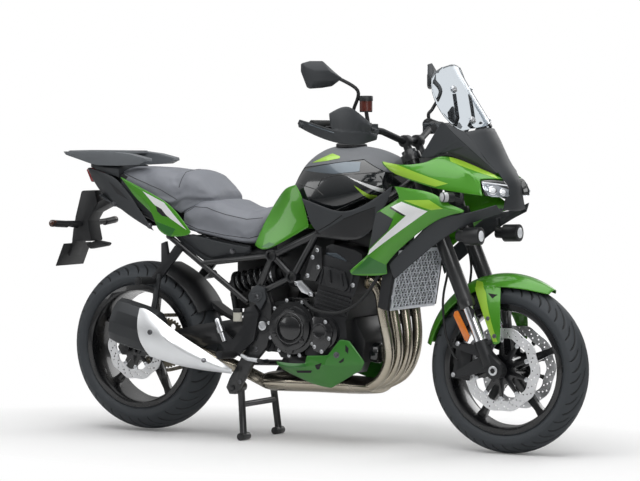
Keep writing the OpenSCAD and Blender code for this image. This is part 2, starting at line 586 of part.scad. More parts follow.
// Height of the frame's tubes over the radiator's foot
rad_hang = 325;
module rad_frame() { translate([398, 0, 498]) rotate([0, rad_lean, 0]) children(); }
module radiator() color([0.12, 0.12, 0.12]) rad_frame() {
  translate([-34, -rad_w, 0]) cube([32, 2 * rad_w, rad_h]);
  for (s = [-1, 1]) scale([1, s, 1]) translate([-40, rad_w - 6, 4]) cube([40, 16, rad_h - 30]);
  for (s = [-1, 1]) translate([-18, s * 48, rad_h - 2]) cylinder(d = 20, h = rad_hang - rad_h + 2);
}
module radiator_guard() color([0.7, 0.7, 0.7]) rad_frame() translate([0.3, 0, 0]) rotate([90, 0, 90]) linear_extrude(4) {
  difference() {
    translate([-rad_w + 8, 0]) square([2 * rad_w - 16, rad_h - 8]);
    translate([-rad_w + 18, 10]) square([2 * rad_w - 36, rad_h - 28]);
  }
  intersection() {
    translate([-rad_w + 8, 0]) square([2 * rad_w - 16, rad_h - 8]);
    for (i = [-7 : 7]) for (s = [-1, 1]) translate([i * 46, rad_h / 2]) rotate(s * 32) square([5, 2 * rad_h], center = true);
  }
  for (s = [-1, 1]) translate([s * (rad_w - 9) - 5, 40]) square([10, 14]);
}

// Exhaust
// Point so far out from an exhaust port on the head's front face
function port(out, y) = let (a = [270, 552], b = [298, 650], n = unit([b[1] - a[1], a[0] - b[0]]), c = (a + b) / 2 + n * out) [c[0], y, c[1]];
can_dir = unit([-1, 0, 0.245]);
can_front = [-528, -206, 372];
module exhaust_pipes() color([0.55, 0.5, 0.42]) {
  for (i = [0 : 3]) let (y = (i - 1.5) * cyl_pitch, c = (i - 1.5) * 44)
    pipe(concat([port(0.5, y)], rail([port(16, y), [336, y, 556], [344, y * 0.98, 490], [360, y * 0.9, 400], [358, y * 0.75, 315], [318, (y + 2 * c) / 3, 246], [262, c, 216]], 13)), header_d);
  {
    loft([for (k = [[272, 88, 26], [210, 84, 32], [120, 66, 34], [-20, 66, 34], [-60, 92, 36], [-170, 92, 38], [-198, 74, 30]])
      ring([k[0], 0, 212], [-1, 0, 0], k[1], k[2], 24)]);
  }
  pipe(concat(rail([[-190, -50, 214], [-282, -84, 262], [-360, -140, 300], [-436, -194, 332], can_front - 30 * can_dir], 12), [can_front - 0.5 * can_dir]), link_d);
}
can_rings = [[can_front[0], can_front[2], 0.62], [-556, 385, 0.94], [-600, 397, 1], [-700, 422, 1], [-728, 429, 0.96]];
module silencer() color([0.2, 0.2, 0.21]) {
  loft([for (i = [len(can_rings) - 1 : -1 : 0]) let (k = can_rings[i])
    [for (q = ring([0, 0, 0], [1, 0, 0], can_a * k[2], can_b * k[2], 12)) [k[0] + 0.245 * q[2], can_front[1] + q[1], k[1] + q[2]]]]);
  // Hanger to the passenger's footrest bracket
  slab([[-604, 450], [-580, 450], [-556, 600], [-570, 600]], 168.5, 180);
}
shield_rails = [
  [[-604, -246, 478], [-560, -244, 468], [-450, -228, 392], [-330, -210, 322], [-236, -196, 266]],
  [[-604, -270, 424], [-540, -270, 408], [-440, -260, 348], [-330, -234, 292], [-233, -202, 259]],
  [[-592, -270, 352], [-530, -268, 338], [-440, -254, 302], [-340, -228, 270], [-236, -200, 253]],
  [[-562, -242, 300], [-510, -240, 288], [-440, -228, 270], [-350, -208, 256], [-240, -194, 248]]];
module heat_shield() color([0.72, 0.72, 0.72]) {
  shell(rows_of(shield_rails, 12), 2);
  peg(rows_of(shield_rails, 12), 1, 5, [-483.7, -228.2, 360.9]);
}

// Rear suspension
module swingarm() color([0.06, 0.06, 0.06]) difference() {
  union() {
    both() {
      slab([[pivot_x + 34, pivot_z + 6], [pivot_x + 8, pivot_z + 34], [pivot_x - 60, pivot_z + 30], [pivot_x - 300, pivot_z - 10], [rear_x + 70, rear_z + 34], [rear_x - 30, rear_z + 30],
        [rear_x - 48, rear_z], [rear_x - 30, rear_z - 28], [rear_x + 60, rear_z - 30], [pivot_x - 260, pivot_z - 84], [pivot_x - 90, pivot_z - 60], [pivot_x + 10, pivot_z - 34], [pivot_x + 30, pivot_z - 16]], arm_y, arm_y + arm_t);
      boss(rear_x + 40, rear_z - 10, 30, arm_y, arm_y + arm_t + 8);
    }
    tube([pivot_x, -arm_y - 1, pivot_z], [pivot_x, arm_y + 1, pivot_z], 40);
    mid_slab([[pivot_x - 140, pivot_z - 8], [pivot_x - 160, pivot_z + 6], [pivot_x - 214, pivot_z - 4], [pivot_x - 222, pivot_z - 50], [pivot_x - 190, pivot_z - 66], [pivot_x - 140, pivot_z - 50]], arm_y + 1);
  }
  tube([pivot_x, -plate_y - 20, pivot_z], [pivot_x, plate_y + 20, pivot_z], spindle_d + 2 * seat_gap);
  tube([rear_x, -plate_y - 20, rear_z], [rear_x, plate_y + 20, rear_z], rear_axle_d + 2 * seat_gap);
  both() boss(rear_x + 40, rear_z - 10, bobbin_d, arm_y + arm_t - 22, arm_y + arm_t + 20);
}
shock_a = [-318, -52, 566];
shock_b = [-96, -52, 612];
module rear_shock() color([0.07, 0.07, 0.07]) {
  tube(shock_a, shock_b, 34);
  tube(mid(shock_a, shock_b, 0.06), mid(shock_a, shock_b, 0.12), 84);
  tube(mid(shock_a, shock_b, 0.84), mid(shock_a, shock_b, 0.92), 84);
  d = unit(shock_b - shock_a); e = [0, 1, 0]; f = cross(d, e); turns = 6.5; n = 78;
  pipe([for (i = [0 : n]) mid(shock_a, shock_b, 0.1 + 0.76 * i / n) + 34 * (cos(360 * turns * i / n) * e + sin(360 * turns * i / n) * f)], 12, 6, d);
  // Links down to the swingarm
  tube(shock_a, [-318, -52, 520], 26);
  tube([-318, -52, 524], [-306.9, -40.9, 429.2], 24);
  tube(shock_b, [-87.6, -52, 668.6], 20);
}
// Closed loop round both sprockets, from the front one
module loop2d(add) {
  q = [rear_x, rear_z] - drive_p; f = drive_r + add; r = driven_r + add; a = atan2(q[1], q[0]); g = asin((r - f) / norm(q));
  polygon(concat([for (k = [-1 : 1 / 15 : 1]) q + r * [cos(a + k * (90 + g)), sin(a + k * (90 + g))]],
    [for (k = [-1 : 1 / 8 : 1]) f * [cos(a + 180 + k * (90 - g)), sin(a + 180 + k * (90 - g))]]));
}
module drive_chain() color([0.25, 0.22, 0.18]) translate([drive_p[0], chain_y + chain_w / 2, drive_p[1]]) rotate([90, 0, 0]) {
  linear_extrude(chain_w) difference() { loop2d(chain_h / 2); loop2d(-chain_h / 2); }
  translate([0, 0, chain_w / 2 - 4]) cylinder(r = drive_r - chain_h / 2 + 1, h = 8);
  translate([0, 0, chain_w / 2]) cylinder(d = 30, h = chain_w / 2 + 5);
}
hug_r = rear_r + 22;
function hugger_at(a, s) = let (r = hug_r - 34 * pow(abs(s), 3)) [rear_x + r * cos(a), -(rear_tyre_w / 2 + 2) * s, rear_z + r * sin(a)];
module rear_hugger() color([0.08, 0.08, 0.08]) {
  shell([for (i = [0 : 8]) [for (s = [-1 : 0.25 : 1]) hugger_at(26 + 44 * i / 8, s)]], panel_t);
  // Stay to the swingarm's cross piece
  mid_slab([[pivot_x - 312, pivot_z + 68], [pivot_x - 300, pivot_z + 36], [pivot_x - 212, pivot_z - 3.1], [pivot_x - 204, pivot_z + 4]], 30);
}
module rear_brake() color([0.08, 0.08, 0.09]) {
  rear_wheel_frame() difference() {
    union() {
      rotate(58) translate([rear_disc_d / 2 - 34, -46, rear_disc_y - 18]) cube([52, 92, 32]);
      rotate(58) translate([-18, -18, rear_disc_y + disc_t / 2 + 3]) cube([rear_disc_d / 2, 36, 8]);
    }
    translate([0, 0, rear_disc_y - disc_t / 2 - 1.5]) cylinder(d = rear_disc_d + 14, h = disc_t + 3);
  }
  // Axle with its end nuts
  rear_wheel_frame() translate([0, 0, -arm_y - arm_t - 14]) cylinder(d = rear_axle_d, h = 2 * (arm_y + arm_t + 14));
}

// Tank and seats: half outlines (y, z) at stations along x, closed over the middle
function half_ring(x, h) = concat([for (p = h) [x, p[0], p[1]]], [for (i = [len(h) - 1 : -1 : 0]) if (h[i][0] > 0.5) [x, -h[i][0], h[i][1]]]);
tank_secs = [
  [-90, [[0, 800], [70, 800], [96, 826], [92, 852], [60, 872], [0, 880]]],
  [-40, [[0, 792], [100, 792], [132, 830], [130, 880], [88, 930], [0, 946]]],
  [20, [[0, 792], [120, 794], [158, 850], [152, 930], [96, 1020], [0, 1052]]],
  [90, [[0, 796], [130, 800], [172, 856], [160, 960], [100, 1046], [0, 1076]]],
  [170, [[0, 818], [138, 826], [178, 866], [166, 970], [104, 1048], [0, 1078]]],
  [260, [[0, 856], [130, 868], [176, 892], [164, 972], [100, 1040], [0, 1068]]],
  [318, [[0, 884], [114, 894], [164, 910], [152, 970], [94, 1024], [0, 1048]]],
  [355, [[0, 908], [80, 916], [134, 930], [126, 966], [80, 1004], [0, 1024]]]];
function curve_half(h) = rail(h, 12);
module fuel_tank() color([0.05, 0.05, 0.05]) difference() {
  loft([for (s = tank_secs) half_ring(s[0], curve_half(s[1]))]);
  both() run([[head_hi[0], -14, head_hi[1]], node_m, node_u], trellis_d + 1);
  fork_frame() translate([-lead, 0, drop - head_len / 2 - 80]) cylinder(d = head_d + 50, h = head_len + 160);
}
rider_secs = [
  [-500, [[0, 764], [100, 764], [128, 776], [132, 802], [112, 842], [0, 848]]],
  [-420, [[0, 756], [112, 752], [146, 758], [148, 796], [124, 864], [0, 874]]],
  [-350, [[0, 744], [112, 740], [150, 746], [154, 792], [128, 862], [0, 872]]],
  [-284, [[0, 732], [108, 728], [148, 732], [152, 780], [124, 838], [0, 850]]],
  [-220, [[0, 724], [100, 720], [142, 722], [146, 770], [112, 826], [0, 840]]],
  [-165, [[0, 722], [90, 718], [126, 726], [130, 790], [96, 838], [0, 852]]],
  [-128, [[0, 742], [70, 742], [100, 756], [100, 800], [76, 836], [0, 846]]]];
module rider_seat() color([0.3, 0.3, 0.31]) {
  loft([for (s = rider_secs) half_ring(s[0], curve_half(s[1]))]);
  for (p = seat_posts) both() rod([p[0], rail_a[1], p[1]], [p[0], rail_a[1], p[2]], 16);
}
// Posts under the seat, down to the subframe
seat_posts = [[-420, 764, 735.4], [-260, 740, 711.4]];
pillion_secs = [
  [-800, [[0, 930], [70, 930], [92, 940], [94, 956], [72, 980], [0, 988]]],
  [-720, [[0, 890], [92, 890], [118, 904], [120, 936], [92, 982], [0, 990]]],
  [-620, [[0, 858], [104, 858], [132, 872], [134, 912], [104, 976], [0, 986]]],
  [-540, [[0, 850], [108, 850], [138, 862], [138, 900], [104, 966], [0, 978]]],
  [-480, [[0, 880], [106, 878], [134, 884], [132, 908], [102, 966], [0, 982]]],
  [-435, [[0, 882], [102, 880], [128, 884], [126, 902], [96, 952], [0, 968]]],
  [-392, [[0, 882], [94, 880], [116, 883], [113, 892], [88, 918], [0, 930]]],
  [-356, [[0, 881], [80, 880], [98, 882], [96, 884], [76, 890], [0, 894]]]];
module passenger_seat() color([0.3, 0.3, 0.31]) {
  loft([for (s = pillion_secs) half_ring(s[0], curve_half(s[1]))]);
  // Posts down to the subframe
  both() rod([-560, -94, 860], [-560, -95.5, 779.4], 14);
}

// Body panels, right side; each list of rails runs from the top edge to the bottom edge
knee_rails = [
  [[-96, -118, 874], [-40, -150, 920], [14, -168, 936]],
  [[-114, -132, 836], [-40, -162, 862], [46, -181, 903]],
  [[-142, -148, 772], [-40, -172, 786], [66, -186, 842]],
  [[-164, -156, 716], [-92, -184, 703], [82, -188, 788]]];
module knee_panels() color([0.35, 0.6, 0.1]) both() {
  shell(rows_of(knee_rails, 6), panel_t);
  peg(rows_of(knee_rails, 6), 1, 3, [-30.9, -140, 859.5]);
}
cover_rails = [
  [[50, -188, 890], [120, -191, 868], [225, -194, 842], [330, -197, 878], [426, -196, 940]],
  [[74, -191, 850], [135, -193, 835], [228, -195, 822], [325, -198, 840], [412, -199, 890]],
  [[90, -191, 792], [150, -193, 790], [232, -195, 790], [310, -197, 800], [376, -198, 838]],
  [[126, -190, 764], [176, -192, 752], [240, -194, 746], [300, -195, 752], [352, -196, 790]]];
seat_cover_rails = [
  [[-516, -136, 752], [-434, -154, 744], [-300, -158, 720], [-186, -155, 704]],
  [[-470, -134, 712], [-390, -144, 690], [-300, -148, 694], [-192, -152, 692]],
  [[-400, -130, 674], [-356, -134, 660], [-296, -138, 674], [-204, -148, 684]]];
module side_panels() color([0.16, 0.16, 0.17]) both() {
  shell(rows_of(cover_rails, 8), panel_t);
  peg(rows_of(cover_rails, 8), 1, 2, [135.3, -169.6, 840.1]);
  shell(rows_of(seat_cover_rails, 6), panel_t);
  peg(rows_of(seat_cover_rails, 6), 0, 3, [-370.5, -106.3, 719.8]);
}
shroud_rails = [
  [[438, -206, 938], [520, -216, 930], [604, -222, 916], [644, -214, 888], [708, -192, 858]],
  [[470, -222, 898], [540, -233, 887], [608, -237, 874], [652, -225, 866], [706, -194, 850]],
  [[368, -207, 846], [450, -228, 850], [520, -237, 846], [580, -231, 842], [628, -212, 836]],
  [[348, -207, 770], [392, -222, 764], [436, -227, 760], [480, -222, 760], [528, -207, 772]],
  [[334, -205, 696], [360, -213, 694], [388, -216, 693], [412, -213, 695], [437, -204, 700]],
  [[254, -198, 636], [300, -204, 634], [342, -206, 637], [376, -204, 644], [404, -200, 662]],
  [[262, -195, 622], [300, -199, 620], [340, -200, 621], [378, -199, 623], [406, -197, 630]]];
module shrouds() color([0.35, 0.6, 0.1]) both() {
  shell(rows_of(shroud_rails, 8), panel_t);
  peg(rows_of(shroud_rails, 8), 4, 5, [398.5, -182.4, 697]);
}
liner_rails = [
  [[412, -194, 664], [500, -198, 742], [600, -202, 826], [706, -186, 844], [800, -128, 876]],
  [[420, -192, 636], [516, -194, 716], [612, -192, 794], [710, -170, 828], [803, -112, 860]],
  [[430, -188, 610], [530, -186, 690], [625, -178, 762], [715, -150, 812], [806, -95, 846]]];
module shroud_liners() color([0.1, 0.1, 0.11]) both() {
  shell(rows_of(liner_rails, 10), panel_t);
  // Seats on the radiator, the nose and the fog lamp
  rod([420, -190.5, 652], [420, -rad_w - 10.4, 652], 12);
  peg(rows_of(liner_rails, 10), 1, 9, [802.8, -85.7, 857.7]);
  peg(rows_of(liner_rails, 10), 1, 6, [660.9, -159.3, 786.1]);
}
cowl_rails = [
  [[359, -150, 1023], [450, -166, 1012], [540, -160, 1022], [612, -128, 1046], [798, -72, 966]],
  [[364, -157, 1015], [455, -180, 990], [560, -184, 992], [660, -166, 1000], [742, -142, 966]],
  [[374, -158, 1004], [452, -178, 970], [593, -194, 933], [690, -177, 918], [758, -152, 908]]];
module upper_cowl() color([0.35, 0.6, 0.1]) both() {
  shell(rows_of(cowl_rails, 10), panel_t);
  peg(rows_of(cowl_rails, 10), 1, 9, [732.9, -129.1, 952.3]);
}
visor_rails = [
  [[664, -104, 1128], [700, -56, 1138], [708, 0, 1142], [700, 56, 1138], [664, 104, 1128]],
  [[704, -98, 1080], [734, -50, 1085], [742, 0, 1087], [734, 50, 1085], [704, 98, 1080]],
  [[738, -88, 1030], [758, -46, 1034], [764, 0, 1036], [758, 46, 1034], [738, 88, 1030]],
  [[780, -70, 986], [796, -36, 984], [801, 0, 984], [796, 36, 984], [780, 70, 986]],
  [[803, -62, 950], [815, -30, 948], [820, 0, 948], [815, 30, 948], [803, 62, 950]],
  [[806, -62, 905], [816, -30, 900], [820, 0, 898], [816, 30, 900], [806, 62, 905]],
  [[806, -86, 858], [815, -40, 853], [819, 0, 852], [815, 40, 853], [806, 86, 858]]];
cockpit_rails = [
  [[596, -148, 1166], [648, -132, 1112], [716, -106, 1046], [776, -76, 984]],
  [[512, -151, 1038], [560, -149, 1040], [622, -127, 1056], [768, -80, 986]]];
module nose_cowl() color([0.14, 0.14, 0.15]) {
  shell(rows_of(visor_rails, 8), panel_t);
  both() {
    shell(rows_of(cockpit_rails, 8), panel_t);
    // Tie between the nose and the cockpit's side, and the arm to the instruments
    a = rows_of(cockpit_rails, 8); b = rows_of(visor_rails, 8);
    rod(a[0][4] - 6 * grid_n(a, 0, 4), b[1][0] - 6 * grid_n(b, 1, 0), 8, 8);
    peg(b, 1, 2, [599.3, -45.4, 1073.7]);
  }
}
screen_rails = [
  [[556, -70, 1352], [562, 0, 1366], [556, 70, 1352]],
  [[541, -118, 1330], [580, 0, 1338], [541, 118, 1330]],
  [[550, -148, 1268], [618, 0, 1284], [550, 148, 1268]],
  [[602, -150, 1176], [684, 0, 1194], [602, 150, 1176]],
  [[652, -112, 1132], [712, 0, 1150], [652, 112, 1132]]];
module windscreen() color([0.8, 0.85, 0.9, 0.4]) shell(rows_of(screen_rails, 8), screen_t);
module instrument_panel() color([0.06, 0.06, 0.06]) {
  translate([560, 0, 1110]) rotate([0, -35, 0]) cube([22, 190, 104], center = true);
  // Stay from the steering head, and the screen's carrier
  a = fork_pt(-lead + head_d / 2 + 0.4, drop + 40); b = fork_pt(-lead + head_d / 2 + 40, drop + 40);
  pipe([[a[0], 0, a[1]], [b[0], 0, b[1]], [575, 0, 1085]], 22, 12);
  for (s = [-1, 1]) pipe([[572, s * 40, 1092], [612, s * 60, 1176], [598, s * 60, 1260]], 14, 8);
}
lamp_rails = [
  [[750, -146, 960], [775, -118, 964], [806, -78, 958]],
  [[760, -150, 930], [796, -116, 930], [826, -76, 930]],
  [[764, -142, 906], [800, -112, 903], [826, -78, 905]]];
module headlamps() color([0.85, 0.88, 0.9]) both() shell(rows_of(lamp_rails, 6), 26);
module fog_lamps() color([0.2, 0.2, 0.2]) both() {
  tube([692, -150, 766], [752, -150, 768], 62);
  tube([660, -150, 768], [694, -150, 766], 40);
}
module indicators() color([0.1, 0.1, 0.1]) both() {
  tube([690, -175.5, 915.6], [690, -176, 884], 14);
  tube([690, -176, 888], [666, -206, 902], 16);
  tube([668, -202, 903], [644, -238, 904], 34);
  tube([-1027, -37.6, 760], [-1012, -130, 772], 14);
  tube([-1012, -126, 772], [-1020, -212, 778], 26);
}
tail_rails = [
  [[-772, -124, 954], [-651, -140, 907], [-556, -149, 866], [-498, -155, 824], [-437, -159, 757]],
  [[-746, -127, 930], [-650, -142, 876], [-570, -151, 822], [-508, -157, 780], [-441, -160, 750]],
  [[-700, -130, 876], [-606, -145, 812], [-590, -150, 766], [-532, -155, 736], [-450, -159, 744]]];
module tail_panels() color([0.35, 0.6, 0.1]) both() {
  shell(rows_of(tail_rails, 8), panel_t);
  peg(rows_of(tail_rails, 8), 1, 3, [-626.9, -102.5, 800.9]);
}
tail_cover_rails = [
  [[-964, -58, 984], [-880, -100, 972], [-800, -120, 950], [-752, -126, 912], [-706, -130, 866]],
  [[-930, -62, 926], [-850, -104, 896], [-780, -122, 866], [-716, -130, 836], [-650, -138, 800]],
  [[-880, -66, 876], [-806, -104, 848], [-736, -122, 812], [-676, -132, 784], [-610, -142, 756]]];
module tail_cover() color([0.1, 0.1, 0.11]) {
  both() {
    shell(rows_of(tail_cover_rails, 8), panel_t);
    peg(rows_of(tail_cover_rails, 8), 1, 5, [-747.6, -103.7, 847.7]);
  }
  // Stud under the subframe's cross tube, through the tray
  rod([rail_c[0], 0, 834], [rail_c[0], 0, rail_c[2] - sub_d / 2 + 2.5 * tube_step - 0.4], 14);
  slab([[-884, 886], [-878, 878], [-800, 838], [-640, 770], [-636, 776], [-798, 846]], -104, 104);
}
rack_top = 1048;
// Side outline of a grab handle, from its back end along the underside
handle_side = [[-1032, rack_top - 3], [-1022, rack_top - 15], [-985, rack_top - 26], [-910, rack_top - 47], [-880, rack_top - 53], [-790, rack_top - 54],
  [-692, rack_top - 49], [-662, rack_top - 36], [-664, rack_top - 26], [-732, rack_top - 11], [-800, rack_top - 3.5], [-886, rack_top - 1.5]];
module rear_carrier() color([0.06, 0.06, 0.06]) difference() {
  union() {
    translate([0, 0, rack_top - rack_t]) linear_extrude(rack_t) polygon([[-1050, -52], [-1026, -84], [-820, -100], [-780, -76], [-780, 76], [-820, 100], [-1026, 84], [-1050, 52]]);
    // Turned-down lip at the back
    slab([[-1052, rack_top - 2], [-1054, rack_top - 20], [-1040, rack_top - 24], [-1006, rack_top - 14], [-1006, rack_top - 2]], -54, 54);
    both() {
      // Moulded grab handle along the side
      slab(handle_side, -116, -72);
      tube([-880, -76, rack_top - 6], [-870, -42, 930], 20);
      tube([rail_d[0], -40, 934], [rail_d[0], -40, rail_d[2] + sub_d / 2 - 2.5 * tube_step + 0.4], 16);
    }
  }
  for (sx = [-1, 1]) for (sy = [-1, 1]) translate([-905 + sx * rack_hole_l / 2, sy * rack_hole_w / 2, rack_top - 40]) cylinder(d = rack_hole_d, h = 60);
  translate([-940, 0, rack_top - 40]) linear_extrude(60) polygon([[-60, -20], [-40, -36], [90, -44], [110, -20], [110, 20], [90, 44], [-40, 36], [-60, 20]]);
}
module tail_lamp() color([0.6, 0.05, 0.05]) slab([[-972, 976], [-950, 930], [-930, 930], [-930, 984], [-960, 984]], -54.9, 54.9);
module plate_holder() color([0.07, 0.07, 0.07]) {
  // Hanger from the tail, then the blank plate
  mid_slab([[-877.6, 877.3], [-850, 863.2], [-985, 800], [-1030, 740], [tail_x + 52, 700], [tail_x + 26, 648], [tail_x + 18, 650], [tail_x + 38, 700], [-1044, 752], [-1004, 822]], 36);
  translate([tail_x, 0, 612]) rotate([0, atan2(40, 92), 0]) translate([0, -plate_w / 2, 0]) cube([3, plate_w, plate_h]);
}
belly_rails = [
  [[-54, -190, 302], [11, -202, 296], [80, -212, 301], [87, -213, 329], [174, -213, 333], [216, -201, 391], [250, -190, 387], [300, -170, 312]],
  [[-44, -194, 288], [10, -206, 284], [70, -213, 286], [92, -214, 290], [160, -214, 294], [214, -203, 302], [256, -188, 304], [296, -171, 300]],
  [[-28, -178, 270], [8, -184, 256], [56, -187, 240], [90, -186, 228], [134, -183, 218], [170, -178, 214], [232, -170, 252], [284, -166, 282]]];
module belly_cowl() color([0.35, 0.6, 0.1]) both() {
  shell(belly_rails, panel_t);
  peg(belly_rails, 1, 4, [168, -182.8, 323]);
}

// Rests for the feet, with the pedals
rest_outline = [[-150, 500], [-130, 470], [-150, 372], [-214, 318], [-250, 300], [-266, 316], [-318, 396], [-300, 416], [-240, 372], [-200, 420], [-190, 486]];
pillion_outline = [[-500, 706], [-470, 690], [-560, 585], [-590, 560], [-612, 576], [-560, 640], [-560, 712], [-540, 720], [-530, 668]];
module footrests() color([0.1, 0.1, 0.1]) {
  // Rear brake's fluid bottle, on the right
  translate([-216, -plate_y - plate_t - 17, 436]) cylinder(d = 32, h = 48);
  tube([-216, -plate_y - plate_t - 12, 462], [-186, -plate_y - plate_t - 8, 468], 12);
  both() foot_rest();
}
module foot_rest() {
  slab(rest_outline, plate_y + plate_t, plate_y + plate_t + 14);
  tube([-238, -plate_y - plate_t - 10, 316], [-238, -282, 322], 26);
  pipe([[-226, -plate_y - plate_t - 6, 322], [-160, -206, 306], [-84, -212, 300]], 14, 8, [0, 0, 1]);
  tube([-84, -200, 300], [-84, -244, 300], 18);
  slab(pillion_outline, 154, 168);
  boss(-497, 697, 14, 150.2, 156);
  tube([-596, -160, 572], [-604, -262, 576], 26);
}

// Stands
leg_y = 112;
module centre_stand() color([0.08, 0.08, 0.08]) {
  both() {
    boss(stand_x, stand_z, 36, leg_y - 14, plate_y - side_gap);
    boss(stand_x, stand_z, 16, leg_y, plate_y + plate_t + 4);
    tube([stand_x, -leg_y, stand_z], [stand_x + stand_over, -leg_y - 12, foot_r], stand_d);
    boss(stand_x + stand_over, foot_r, 2 * foot_r, leg_y - 18, leg_y + 36);
  }
  tube([stand_x + 6, -leg_y - 4, stand_z - 66], [stand_x + 6, leg_y + 4, stand_z - 66], stand_d - 4);
}
side_dir = unit([-0.999, 0.03, -0.04]);
module side_stand() color([0.08, 0.08, 0.08]) {
  c = stand_pin + stand_axis * side_gap;
  tube(c, c + stand_axis * 24, 34);
  tube(stand_pin - stand_axis * 15, c + stand_axis * 20, 14);
  p = c + stand_axis * 12;
  tube(p, p + side_dir * side_leg, 22);
  translate(p + side_dir * side_leg) sphere(d = 22);
  tube(p + side_dir * (side_leg - 4) + [0, -6, -8], p + side_dir * (side_leg - 4) + [-4, 26, 10], 30);
}

frame();
engine();
engine_covers();
radiator();
radiator_guard();
exhaust_pipes();
silencer();
heat_shield();
swingarm();
rear_shock();
fuel_tank();
knee_panels();
side_panels();
shrouds();
shroud_liners();
upper_cowl();
nose_cowl();
windscreen();
instrument_panel();
headlamps();
fog_lamps();
indicators();
rider_seat();
passenger_seat();
tail_panels();
tail_cover();
rear_carrier();
tail_lamp();
plate_holder();
belly_cowl();
footrests();
rear_hugger();
rear_brake();
drive_chain();
fork_upper();
fork_tubes();
fork_feet();
handlebar();
levers();
handguards();
mirrors();
front_fender();
front_calipers();
front_tyre();
front_rim();
front_discs();
rear_tyre();
rear_rim();
rear_disc();
rear_sprocket();
centre_stand();
side_stand();
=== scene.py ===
"""Adventure motorcycle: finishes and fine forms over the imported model, in metres, in its own frame."""
import json
import logging
import math
from dataclasses import dataclass
from enum import Enum
from typing import ClassVar, Iterable, Sequence

import bmesh
import bpy
import numpy as np
from mathutils import Matrix, Vector
from mathutils.bvhtree import BVHTree


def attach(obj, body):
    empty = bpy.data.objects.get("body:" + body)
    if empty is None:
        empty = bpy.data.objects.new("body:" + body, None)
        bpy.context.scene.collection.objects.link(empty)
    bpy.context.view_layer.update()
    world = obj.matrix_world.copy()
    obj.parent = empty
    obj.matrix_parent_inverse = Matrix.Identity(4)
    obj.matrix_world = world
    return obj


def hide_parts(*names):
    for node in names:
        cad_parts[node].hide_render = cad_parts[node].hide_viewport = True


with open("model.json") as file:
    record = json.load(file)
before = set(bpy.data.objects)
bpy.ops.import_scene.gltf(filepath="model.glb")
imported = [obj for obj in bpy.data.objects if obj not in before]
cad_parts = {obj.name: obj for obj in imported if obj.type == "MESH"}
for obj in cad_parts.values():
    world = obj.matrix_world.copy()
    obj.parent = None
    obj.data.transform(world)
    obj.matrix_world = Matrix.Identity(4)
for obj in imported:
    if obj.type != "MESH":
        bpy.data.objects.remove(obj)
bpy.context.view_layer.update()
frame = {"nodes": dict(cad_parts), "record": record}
LOG = logging.getLogger("motorcycle")

Colour = tuple[float, float, float]
Point = tuple[float, float, float]
Flat = tuple[float, float]
MM = 0.001
RIGHT: Point = (0.0, -1.0, 0.0)
LEFT: Point = (0.0, 1.0, 0.0)
UP: Point = (0.0, 0.0, 1.0)
WHITE: Colour = (1.0, 1.0, 1.0)
EVEN: Point = (1.0, 1.0, 1.0)
# Below, angles are in degrees and lengths in metres, and SIDE_START is in millimetres.
GROOVE = "groove"
# How much darker the grooves are painted, for the shade inside them.
GROOVE_SHADE = -0.88
BRUSH_STRETCH = 0.03
COAT_ROUGHNESS = 0.04
WELD = 2e-5
SPECK = 2e-6
JOIN_ANGLE = 28.0
JOIN_SHAPE = 70.0
CREASE = 0.94
FLAT_ANGLE = 1.0
EDGE_ANGLE = 30.0
SHADE_ANGLE = 34.0
SHEET_LIFT = 0.0007
SHEET_SINK = 0.0006
SIDE_START = 700.0
AWAY = 0.5
BOLT_SIDES = 16


def srgb(red: int, green: int, blue: int) -> Colour:
    """Linear colour of an 8 bit screen colour.

    Args:
        red: Red part, 0 to 255.
        green: Green part, 0 to 255.
        blue: Blue part, 0 to 255.

    Returns:
        The linear colour.
    """
    def linear(value: int) -> float:
        """Linear level of one channel."""
        level = value / 255.0
        return level / 12.92 if level <= 0.04045 else ((level + 0.055) / 1.055) ** 2.4
    return (linear(red), linear(green), linear(blue))


def shade(colour: Colour, share: float) -> Colour:
    """The colour made lighter or darker by a share of itself."""
    return tuple(min(1.0, max(0.0, c * (1.0 + share))) for c in colour)


def mm(x: float, y: float, z: float) -> Vector:
    """Point given in millimetres."""
    return Vector((x, y, z)) * MM


def curve(points: Sequence[Vector], steps: int) -> list[Vector]:
    """Smooth path through some points.

    Args:
        points: The points, in order.
        steps: Steps between two of them.

    Returns:
        The points of the path.
    """
    path = []
    last = len(points) - 1
    for i in range(last):
        a, b = points[max(i - 1, 0)], points[i]
        c, d = points[i + 1], points[min(i + 2, last)]
        for k in range(steps):
            t = k / steps
            path.append(0.5 * (2 * b + (c - a) * t + (2 * a - 5 * b + 4 * c - d) * t ** 2
                               + (3 * b - a - 3 * c + d) * t ** 3))
    return path + [points[last]]


def bent(points: Iterable[Point], steps: int = 8) -> list[Vector]:
    """Smooth path through points given in millimetres."""
    return curve([mm(*p) for p in points], steps)


